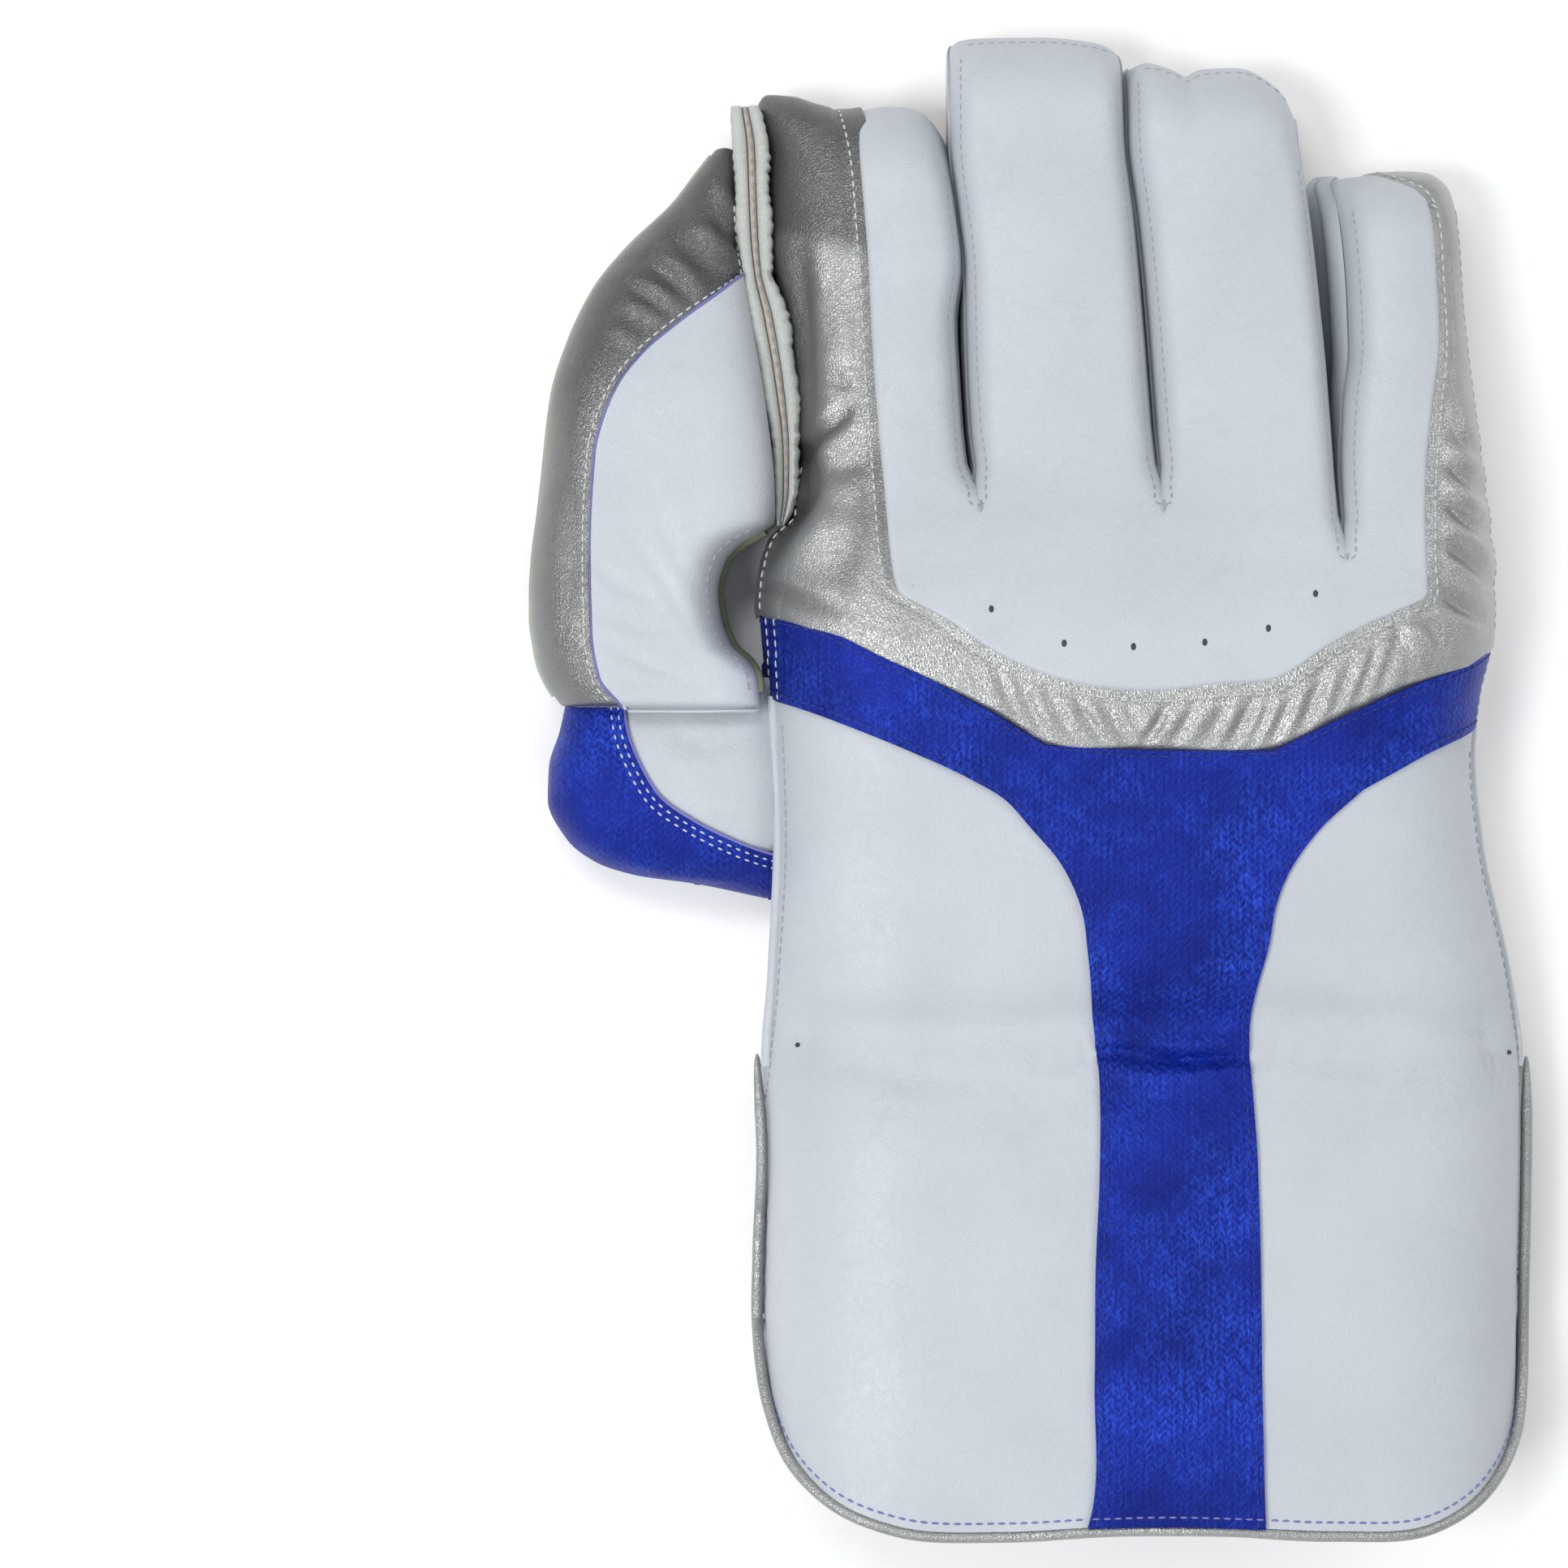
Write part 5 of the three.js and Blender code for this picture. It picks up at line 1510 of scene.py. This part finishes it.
gusset_grid = sole_grid(g_left, g_right, gy, gusset_sole)
gusset = panel("thumb_gusset_sewn", [crescent_grid, base_sole_grid, gusset_grid], wall=1.2)
sewn_in(gusset, blue_leather, "blue_leather", "thumb_gusset")
for inward in (1.5, 3.1):
    stitch("white", inset(crescent_grid, "right", inward), 0.02, 0.96, pitch=2.2, half=0.6)

# %% [markdown]
# ## The palm side
# Padded rubber faces the palm and all four fingers. It lies flat and turns up to the seam round its
# border. Below it come a suede panel and the cuff's padded panel.

# %% Palm facing
PALM_LOW = 0.7  # height of the rubber's face
SOLE_EDGE, SLIT_EDGE = 9.0, 5.0  # how wide it turns up to the seam at the glove's edges and at the slits
ROOT = y_at(2.0)


def joined_at_root(edge, other):
    """A palm slit's edge that starts from the slit's middle line at the roots of the fingers."""
    return lambda y: edge(y) + (other(y) - edge(y)) / 2 * np.clip(1 - (y - ROOT) / 5, 0, 1)


def palm_left(y):
    """The facing's left border: its seam with the gusset, then the index finger's edge."""
    return np.where(y < y_at(2.06), facing_x(y), body_left(y))


def palm_tip(finger, x):
    """Where the facing of a finger ends."""
    return tip_y(finger, x) - 1.0


slit_pairs = [("index right", "middle left"), ("middle right", "ring left"), ("ring right", "little left")]
finger_left = [palm_left] + [joined_at_root(slit_edges[b], slit_edges[a]) for a, b in slit_pairs]
finger_right = [joined_at_root(slit_edges[a], slit_edges[b]) for a, b in slit_pairs] + [body_right]


def palm_height(finger, x, y):
    """Flat, rising to the seam: the shoulders from glove's edges, slit edges and fingertip multiply."""
    grow = np.clip((y - ROOT) / 8, 0, 1)
    up = shoulder((x - body_left(y)) / SOLE_EDGE) * shoulder((body_right(y) - x) / SOLE_EDGE)
    if finger > 0:
        up = up * (1 - (1 - shoulder((x - finger_left[finger](y)) / SLIT_EDGE)) * grow)
    if finger < 3:
        up = up * (1 - (1 - shoulder((finger_right[finger](y) - x) / SLIT_EDGE)) * grow)
    return SEAM - (SEAM - PALM_LOW) * up * shoulder((palm_tip(finger, x) - y) / SOLE_EDGE)


palm_rows = np.linspace(y_at(0.851), ROOT, 56)
at_root = [float(palm_left(ROOT))] + [float(e(ROOT)) for e in finger_right[:3]] + [float(body_right(ROOT))]
root_share = (np.array(at_root) - at_root[0]) / (at_root[-1] - at_root[0])
palm_grids = []
for finger in range(4):
    shares = close_ends(30)
    across_shares = root_share[finger] + (root_share[finger + 1] - root_share[finger]) * shares
    low = ruled(palm_left(palm_rows), body_right(palm_rows), palm_rows, across_shares)
    edges = finger_left[finger], finger_right[finger]
    high = np.stack(up_to(partial(palm_tip, finger), *edges, ROOT, shares, close_end(60)), -1)
    for flat in (low, high):
        palm_grids.append(raised(flat, palm_height(finger, flat[..., 0], flat[..., 1]))[:, ::-1])
palm = panel("palm_facing_sewn", palm_grids, wall=2.6, edge=0.5)
sewn_in(palm, rubber, "dimpled_rubber", "palm_facing")

# %% [markdown]
# The rubber's face is a lattice of small rings, each round a nub, moulded in one sheet with it. One
# ring and its nub are a few dozen faces, set out row by row, every second row shifted by half a step.

# %% Ring dimples
RING_PITCH = 3.6
RING_SIZE = np.array([1.35, 1.35, 0.9])


def ring_shape():
    """A flat ring with a triangular section and seven sides, and a low nub in its middle."""
    loop = circle(7)
    sections = ((1.0, -0.3), (0.84, 0.3), (0.66, -0.3))
    points = [np.column_stack([loop * r, np.full(7, z)]) for r, z in sections]
    points.append(np.column_stack([loop[[0, 2, 3, 5]] * 0.27, np.full(4, -0.3)]))
    points.append([[0, 0, 0.25]])
    faces = []
    for k in range(3):
        a, b = 7 * k, 7 * ((k + 1) % 3)
        faces += [(a + i, a + (i + 1) % 7, b + (i + 1) % 7, b + i) for i in range(7)]
    faces += [(21 + i, 21 + (i + 1) % 4, 25) for i in range(4)] + [(24, 23, 22, 21)]
    return np.concatenate(points), faces


def lattice(low, high, left, right):
    """Places of a hexagonal lattice inside a box."""
    rows = np.arange(low, high, RING_PITCH * math.sqrt(3) / 2)
    cols = np.arange(left, right, RING_PITCH)
    x = cols[None, :] + (np.arange(len(rows)) % 2)[:, None] * RING_PITCH / 2
    return x.ravel(), np.repeat(rows, len(cols))


def rings_on(name, x, y, height):
    """Rings pressed on an underside: it is read at each place, and a slope turns the ring."""
    z = height(x, y)
    slope_x = (height(x + 0.2, y) - height(x - 0.2, y)) / 0.4
    slope_y = (height(x, y + 0.2) - height(x, y - 0.2)) / 0.4
    flat_enough = (z < 5.5) & (np.hypot(slope_x, slope_y) < 1.3)
    n = unit(np.stack([slope_x, slope_y, -np.ones_like(z)], -1)[flat_enough])
    places = np.stack([x, y, z], -1)[flat_enough] + n * 0.05
    made = copies(name, ring_shape(), places, np.tile([1.0, 0, 0], (len(places), 1)), n, RING_SIZE)
    return sewn_in(made, rubber, "dimpled_rubber")


x, y = lattice(y_at(0.86), ROOT - 1.0, x_at(-0.8), x_at(1.0))
inside = (x > palm_left(y) + 2.8) & (x < body_right(y) - 2)
rings_on("rings_palm", x[inside], y[inside], lambda x, y: palm_height(1, x, np.minimum(y, ROOT)))
x, y = lattice(ROOT + 1.5, y_at(2.98), x_at(-0.98), x_at(0.9))
picked = []
for finger in range(4):
    picked.append((x > finger_left[finger](y) + 2) & (x < finger_right[finger](y) - 2) & (y < tip_y(finger, x) - 3.5))


def fingers_height(x, y):
    """The fingers' undersides as one height: the lowest of the four."""
    return np.min([np.where((x > finger_left[k](y) - 1) & (x < finger_right[k](y) + 1), palm_height(k, x, y), 99)
                   for k in range(4)], axis=0)


inside = np.any(picked, axis=0)
rings_on("rings_fingers", x[inside], y[inside], fingers_height)
x, y = lattice(y_at(1.975), y_at(2.72), x_at(-2.0), x_at(-1.0))
left, right = section(stall_form, y)[:2]
inside = (x > left + 2) & (x < right - 2)
rings_on("rings_thumb", x[inside], y[inside], stall_sole)

# %% Wrist panel and cuff palm panel
ry = rows_at(0.853, 1.262, 60)
r_left = body_left(ry)
r_right = np.where(ry < y_at(1.067), facing_x(ry) + 3.0, gusset_x(ry) + 1.0)


def wrist_sole(x, y):
    """Suede, slack between the palm and the cuff: low waves above the ground."""
    up = shoulder((x - body_left(y)) / SOLE_EDGE)
    return SEAM - (SEAM - 2.6 - 0.9 * soft_noise(x, y, 30, 51)) * up


wrist_grid = sole_grid(r_left, r_right, ry, wrist_sole)
wrist_piece = panel("wrist_panel_sewn", [wrist_grid], wall=1.4)
sewn_in(wrist_piece, suede, "white_suede", "wrist_panel")
for inward in (3.0, 9.0):
    stitch("grey", inset(wrist_grid, "right", inward), pitch=3.2)

CUFF_PALM_TOP, CUFF_PALM_LOW = 0.845, 2.3  # where the padded panel ends along the glove, and how low it lies
top_y = y_at(CUFF_PALM_TOP)
top_line = np.stack([np.linspace(float(body_left(top_y)), float(body_right(top_y)), 30), np.full(30, top_y)], -1)
hem_whole = np.concatenate([hem_left_in[:-1], hem_middle_in, hem_right_in[1:]])
side_left = np.concatenate([hem_left_in[:1], edge_run(0, 0.5, CUFF_PALM_TOP)])
side_right = np.concatenate([hem_right_in[-1:], edge_run(1, 0.5, CUFF_PALM_TOP)])
cuff_flat = patch(hem_whole, top_line, side_left, side_right, close_ends(90), even(70))
x, y = cuff_flat[..., 0], cuff_flat[..., 1]
inner = depth_in(raised(cuff_flat, 0 * x), ["left", "right", "bottom", "top"])
puffs = (1 - np.exp(-((inner / 12) ** 2))) * (0.55 + 0.45 * np.cos((x - x_at(0)) / 42 * 2 * np.pi))
border_groove = 0.4 * np.exp(-(((inner - 7) / 1.2) ** 2))
rise = shoulder(np.minimum(x - cuff_flat[:, :1, 0], cuff_flat[:, -1:, 0] - x) / SOLE_EDGE)
cuff_z = SEAM - (SEAM - CUFF_PALM_LOW) * rise - 1.5 * puffs + border_groove
cuff_grid = raised(cuff_flat, cuff_z)[:, ::-1]
cuff_palm = panel("cuff_palm_panel_sewn", [cuff_grid], wall=3.2, edge=0.6)
sewn_in(cuff_palm, white_leather, "white_leather", "cuff_palm_panel")
for inward in (2.2, 4.6):
    stitch("purple", inset(cuff_grid, "top", inward), 0.02, 0.98)
stitch("purple", inset(cuff_grid, "bottom", 4.5), 0.02, 0.98)

# %% [markdown]
# ## Walls between the fingers
# A soft white wall lines each slit: down one finger's side, round the slit's end and up the next.
# It joins the back panel's turned edge to the facing below, and sinks into a slack fold halfway.

# %% Walls in the slits
def slit_wall(name, node_name, one, other, row, reach_one, reach_other):
    """Ruled from the back panel's two edges down to the seam, leaning into the gap by a share of it,
    with a slack fold halfway down."""
    top = np.concatenate([whole_back[one][row:, -1][::-1], whole_back[other][row:, 0][1:]])
    turn_at = len(whole_back[one]) - row - 1
    run = run_of(top)
    places = np.linspace(0, run[-1], 170)
    turn_share = run[turn_at]
    top = np.stack([np.interp(places, run, top[:, k]) for k in range(3)], -1)
    top[:, 2] -= 0.8
    first = slit_edges[("index right", "middle right", "ring right")[one]](top[:, 1])
    second = slit_edges[("middle left", "ring left", "little left")[one]](top[:, 1])
    gap = np.maximum(second - first, 0.2)
    toward = np.where(places < turn_share, 1.0, -1.0)
    reach = np.where(places < turn_share, reach_one, reach_other)
    down = even(16)[None, :]
    away = (toward * gap * reach)[:, None] * (down + 0.22 * np.sin(2 * np.pi * down)) - toward[:, None] * 0.35
    low_z = np.minimum(SEAM, top[:, 2] - 0.3)[:, None]
    grid = np.stack([top[:, :1] + away, np.repeat(top[:, 1:2], 16, 1), top[:, 2:] * (1 - down) + low_z * down], -1)
    made = panel(name, [grid], wall=0.8, edge=0)
    return sewn_in(made, white_leather, "white_leather", node_name)


slit_wall("wall_index_middle", "fourchette_index", 0, 1, SLIT_ROW[1], 0.4, 0.4)
slit_wall("wall_middle_ring", "fourchette_middle", 1, 2, SLIT_ROW[2], 0.4, 0.4)
slit_wall("wall_ring_little", "fourchette_ring", 2, 3, SLIT_ROW[3], 0.12, 0.75)

# %% [markdown]
# ## The raw seam between thumb and index finger
# The two rubber facings are sewn together with their raw edges up, so a thick wavy ribbon of two
# pale skins and a beige core stands between thumb and finger.

# %% Raw seam
def round_tube(path, radius, sides):
    """Rings of a round cord along a line in space."""
    tangent = unit(np.gradient(path, axis=0))
    side = unit(np.cross(tangent, [0, 0, 1.0]))
    up = np.cross(side, tangent)
    profile = circle(sides) * radius
    return path[:, None] + side[:, None] * profile[None, :, :1] + up[:, None] * profile[None, :, 1:]


def closed_tube(name, rings):
    """Rings joined into a closed mesh, with a fan at each end."""
    rows, cols = rings.shape[:2]
    points = np.concatenate([rings.reshape(-1, 3), [rings[0].mean(0)], [rings[-1].mean(0)]])
    faces = [tuple(f) for f in quads_of(rings, closed=True).tolist()]
    faces += [(rows * cols, (k + 1) % cols, k) for k in range(cols)]
    last = (rows - 1) * cols
    faces += [(rows * cols + 1, last + k, last + (k + 1) % cols) for k in range(cols)]
    made = mesh_of(name, points, faces)
    tidy_mesh(made, recalculate=True)
    return smoothed(made, TUBE_CREASE)


def joined_as(name, parts):
    """Several meshes as one object."""
    bpy.ops.object.select_all(action="DESELECT")
    for part in parts:
        part.select_set(True)
    bpy.context.view_layer.objects.active = parts[0]
    bpy.ops.object.join()
    parts[0].name = name
    parts[0].data.name = name
    return parts[0]


# %% [markdown]
# The ribbon is three upright strips. The outer two wander in small notches, as leather cut by hand
# does, and the core between them stays straight.

# %% The three strips of the seam
# along, left edge, right edge
web_rows = np.array(
    [(1.975, -0.935, -0.912), (2.047, -0.941, -0.884), (2.141, -0.947, -0.879), (2.28, -0.975, -0.888),
     (2.408, -1.007, -0.912), (2.502, -1.04, -0.947), (2.586, -1.062, -0.953), (2.765, -1.08, -0.96),
     (2.85, -1.09, -0.985)]
)
WEB_COUNT = 320
WEB_FOOT = 3.0  # height at which the ribbon starts
web_y = rows_at(1.975, 2.85, WEB_COUNT)
web_left = glide(web_y, y_at(web_rows[:, 0]), x_at(web_rows[:, 1]))
web_right = glide(web_y, y_at(web_rows[:, 0]), x_at(web_rows[:, 2]))
rng = np.random.default_rng(71)
notches = np.interp(np.arange(WEB_COUNT), np.arange(0, WEB_COUNT, 4), rng.uniform(-1, 1, WEB_COUNT // 4))
wave = 0.3 * np.sin(web_y / 3.3 + 1) + 0.38 * notches
corner = circle(12)
corner = np.sign(corner) * np.abs(corner) ** 0.5  # a rounded oblong
strips = []
for which, (from_share, to_share, top_height) in enumerate(
    ((-0.06, 0.42, 20.6), (0.38, 0.64, 19.8), (0.6, 1.08, 21.0))
):
    width = web_right - web_left
    a, b = web_left + width * from_share, web_left + width * to_share
    if which == 0:
        a = a - wave * 0.5
    if which == 2:
        b = b + wave
    mid = (a + b) / 2
    half = np.maximum(b - a, 0.6) / 2
    high = top_height + 0.5 * wave - 3.0 * np.clip((web_y - y_at(2.76)) / 12, 0, 1)
    rings = np.stack([
        mid[:, None] + half[:, None] * corner[:, 0],
        np.repeat(web_y[:, None], len(corner), 1),
        (high + WEB_FOOT)[:, None] / 2 + (high - WEB_FOOT)[:, None] / 2 * corner[:, 1],
    ], -1)
    strips.append((closed_tube(f"web_{which}", rings), np.stack([mid, web_y, high], -1)))
(first_skin, _), (web_core, core_top), (second_skin, _) = strips
skins = joined_as("web_seam_sewn", [first_skin, second_skin])
sewn_in(skins, cut_edge, "dimpled_rubber", "web_seam")
web_core.name = "web_seam_core"
sewn_in(web_core, core, "dimpled_rubber")
stitch("grey", with_up(core_top, (0, 0, 1)), pitch=2.9, half=0.8)

# %% [markdown]
# ## Piping
# Silver piping edges both panels of the cuff. Round and even, it is a circle carried along the
# edge, and it slims down at both ends.

# %% Piping round the cuff
PIPE_RADIUS = 1.35
pipe_line = shifted(rim, 1.5)
pipe_x, pipe_y = shifted(rim, 3.3).T  # where the heights for it are read


def piping(name, heights):
    """One run of piping round the hem and up both sides."""
    path = raised(pipe_line, heights)
    steps = np.arange(len(path))
    slim = np.clip(np.minimum(steps, steps[::-1]) / 9, 0, 1) ** 0.5 * 0.75 + 0.25
    rings = path[:, None] + (round_tube(path, PIPE_RADIUS, 12) - path[:, None]) * slim[:, None, None]
    sewn_in(closed_tube(name + "_sewn", rings), silver_leather, "silver_leather", name)


piping("cuff_piping_back",
       np.maximum(SEAM + 1.3, dome(back_form, pipe_x, pipe_y) + cuff_relief(pipe_x, pipe_y) - 0.8))
side_gap = np.minimum(np.abs(pipe_x - body_left(pipe_y)), np.abs(body_right(pipe_y) - pipe_x))
piping("cuff_piping_palm",
       np.clip(SEAM - (SEAM - CUFF_PALM_LOW) * shoulder(side_gap / SOLE_EDGE), 1.4, SEAM - 1.4))
stitch("purple", inset(thumb_panel_grid, "bottom", 1.9), 0.2, 0.99)
stitch("purple", inset(outer_panel_grid, "bottom", 1.9), 0.01, 0.8)
stitch("grey", inset(thumb_panel_grid, "left", 3.3), stop=0.97)
stitch("grey", inset(outer_panel_grid, "right", 2.6), stop=0.97)

# %% [markdown]
# ## Rolled and cut edges
# Above the piping the cuff's edge is a rolled strip of white leather. Where leathers are only cut,
# their cores show as thin greenish lines: round the gap beside the thumb, up the silver band, and
# along the outer fingers. Each is a thin cord carried along its edge.

# %% Rolls and rims
def cord_along(name, path, radius, finish, slot):
    """A thin round cord along a line in space, with ten sides."""
    return sewn_in(closed_tube(name, round_tube(path, radius, 10)), finish, slot)


def at_seam(x, y):
    """A line at the seam's height."""
    return np.stack([x, y, np.full(len(x), SEAM)], -1)


def laid_line(x, y, lift):
    """A line on the back of hand and cuff, lifted off it."""
    return np.stack([x, y, dome(back_form, x, y) + cuff_relief(x, y) + lift], -1)


roll_y = rows_at(0.96, 1.655, 120)
roll = laid_line(body_left(roll_y) + 1.2, roll_y, 0.6)
cord_along("rolled_edge_thumb_side", roll, 1.4, white_leather, "white_leather")
roll_y = rows_at(0.96, 1.60, 120)
roll = laid_line(body_right(roll_y) - 1.1, roll_y, 0.0)
cord_along("rolled_edge_outer_side", roll, 0.9, white_leather, "white_leather")
gap_rim = thumb_grid[gap_rows][:, -1] + [0.35, 0, 0.2]
cord_along("rim_gap", gap_rim, 1.0, olive_edge, "dimpled_rubber")
rim_y = rows_at(1.66, 2.755, 160)
band_rim = at_seam(section(stall_form, rim_y)[0] - 0.7, rim_y)
cord_along("rim_band", band_rim, 0.95, green_edge, "dimpled_rubber")
little_y = rows_at(1.80, 2.60, 140)
cord_along("rim_little", at_seam(body_right(little_y) + 0.7, little_y), 0.8, green_edge, "dimpled_rubber")
tip_x = np.linspace(x_at(-0.985), x_at(-0.76), 60)
cord_along("rim_index", at_seam(tip_x, tip_y(0, tip_x) - 0.3), 0.7, olive_edge, "dimpled_rubber")
cord_along("purple_edge_thumb", thumb_grid[2:-1, 0] + [0.1, 0, 0.35], 0.32, purple_thread, "white_leather")
base_edge = crescent_grid[1:-4, -1] + [0, 0, 0.15]
cord_along("purple_edge_base", base_edge, 0.32, purple_thread, "white_leather")
raw = curve(facing_seam, even(200))
steps = np.arange(len(raw))
raw[:, 0] += 0.4 + 0.3 * np.sin(steps / 2.3) + 0.2 * np.sin(steps / 1.1)
cord_along("raw_edge_palm", raised(raw, np.full(len(raw), 1.7)), 1.2, cut_edge, "dimpled_rubber")
raw_stitches = raised(raw + [2.2, 0], np.full(len(raw), PALM_LOW))
stitch("grey", with_up(raw_stitches, (0, 0, -1)), 0.02, 0.9, pitch=3.0, half=0.9)
stitch("grey", with_up(band_rim + [0.25, 0, 0.95], (-0.3, 0, 1)), stop=0.98, pitch=2.1, half=0.6)

# %% [markdown]
# ## Small things
# Six vent holes stand in an arc over the knuckles, and a small dot at each end of the wrist's crease.
# All the stitches noted above are made here, one mesh for each thread.

# %% Stitches and vent holes
THREAD_WIDTH, THREAD_HEIGHT = 0.26, 0.24  # half sizes of a hump
hump = capsule()
threads = {"white": white_thread, "grey": grey_thread, "purple": purple_thread, "navy": navy_thread}
slots = {"white": "white_leather", "grey": "white_leather", "purple": "white_leather", "navy": "blue_leather"}
for colour, rows in stitch_rows.items():
    places = np.concatenate([r[0] for r in rows])
    forward = np.concatenate([r[1] for r in rows])
    up = unit(np.concatenate([r[2] for r in rows]))
    half = np.concatenate([np.full(len(r[0]), r[3]) for r in rows])
    sizes = np.stack([half, np.full(len(half), THREAD_WIDTH), np.full(len(half), THREAD_HEIGHT)], -1)
    made = copies("stitches_" + colour, hump, places + up * 0.06, forward, up, sizes)
    sewn_in(made, threads[colour], slots[colour])

hole_points = plan([(-0.408, 1.807), (-0.23, 1.745), (-0.06, 1.739), (0.115, 1.747), (0.271, 1.772), (0.389, 1.835)])
every_back = np.concatenate([g[:60] for g in whole_back], axis=1)
holes = line_on(every_back, hole_points)


def disc(sides=14):
    """A flat disc with its face at 0 and its back at -1."""
    rim_points = circle(sides)
    points = np.concatenate([raised(rim_points, np.zeros(sides)), raised(rim_points, np.full(sides, -1.0))])
    walls = [(k, k + sides, (k + 1) % sides + sides, (k + 1) % sides) for k in range(sides)]
    return points, [tuple(range(sides)), tuple(range(2 * sides - 1, sides - 1, -1))] + walls


def dark_discs(name, places, up, size):
    """Small dark discs, as the shade in a hole."""
    made = copies(name, disc(), places, np.tile([1.0, 0, 0], (len(places), 1)), up, np.array(size))
    sewn_in(made, hole_dark, "white_leather")


dark_discs("vent_holes", holes[:, :3] + 0.12 * holes[:, 3:], holes[:, 3:], (0.55, 0.8, 0.4))
dots = laid_line(*plan([(-0.884, 1.008), (0.918, 0.992)]).T, 0.1)
dark_discs("crease_dots", dots, np.array([(-0.5, 0, 1.0), (0.5, 0, 1.0)]), (0.5, 0.5, 0.4))

# %% [markdown]
# ## Floor, light and camera
# The glove lies on a plain pale floor and is seen from straight above, as in a catalogue picture.
# Large soft lights all round keep the shadows light and give the silver something to reflect.

# %% Stage
FLOOR_HALF, FLOOR_DROP = 3000.0, 0.4  # half its size, and how far it lies below the glove
floor = mesh_of("floor", raised(np.array([(-1, -1), (1, -1), (1, 1), (-1, 1)]) * FLOOR_HALF, [-FLOOR_DROP] * 4),
                [(0, 1, 2, 3)])
paper = bpy.data.materials.new("paper")
paper.use_nodes = True
tree = paper.node_tree
where = node(tree, "ShaderNodeTexCoord").outputs["Object"]
fibre = node(tree, "ShaderNodeTexNoise", {"Vector": where, "Scale": 900.0, "Detail": 3.0})
tone = mixed_colour(tree, fibre.outputs[0], (0.94, 0.94, 0.94), (0.97, 0.97, 0.97))
tree.links.new(tone, tree.nodes["Principled BSDF"].inputs["Base Color"])
tree.nodes["Principled BSDF"].inputs["Roughness"].default_value = 0.9
floor.data.materials.append(paper)


def soft_light(name, place, size, power):
    """An area light that faces the glove."""
    data = bpy.data.lights.new(name, "AREA")
    data.shape, data.size, data.size_y, data.energy = "RECTANGLE", size[0], size[1], power
    lamp = placed(name, data)
    lamp.location = place
    lamp.rotation_euler = (Vector((0, 0, 0.02)) - Vector(place)).to_track_quat("-Z", "Y").to_euler()


soft_light("key", (-0.75, -0.25, 1.2), (0.6, 0.5), 11)
soft_light("rim", (-0.35, 0.55, 1.1), (0.5, 0.25), 3.5)
soft_light("fill", (0.9, 0.45, 0.95), (0.8, 0.8), 5)
soft_light("front", (0.1, -1.1, 0.8), (1.0, 0.5), 3)
world = bpy.data.worlds.new("studio")
bpy.context.scene.world = world
world.use_nodes = True
world.node_tree.nodes["Background"].inputs["Color"].default_value = (0.95, 0.97, 1.0, 1)
world.node_tree.nodes["Background"].inputs["Strength"].default_value = 0.42
bpy.context.scene.view_settings.view_transform = "Standard"

# %% Camera
PICTURE_WIDTH = 0.3537  # metres of glove across the picture
LENS, SENSOR = 80.0, 36.0
MEAN_HEIGHT = 0.028
PICTURE_CENTRE = (-0.0573, -0.0017)
camera_data = bpy.data.cameras.new("camera")
camera_data.lens, camera_data.sensor_width = LENS, SENSOR
camera = placed("camera", camera_data)
camera.location = (*PICTURE_CENTRE, MEAN_HEIGHT + PICTURE_WIDTH * LENS / SENSOR)
bpy.context.scene.camera = camera
print("camera", round(camera.location.z, 3), "m up")
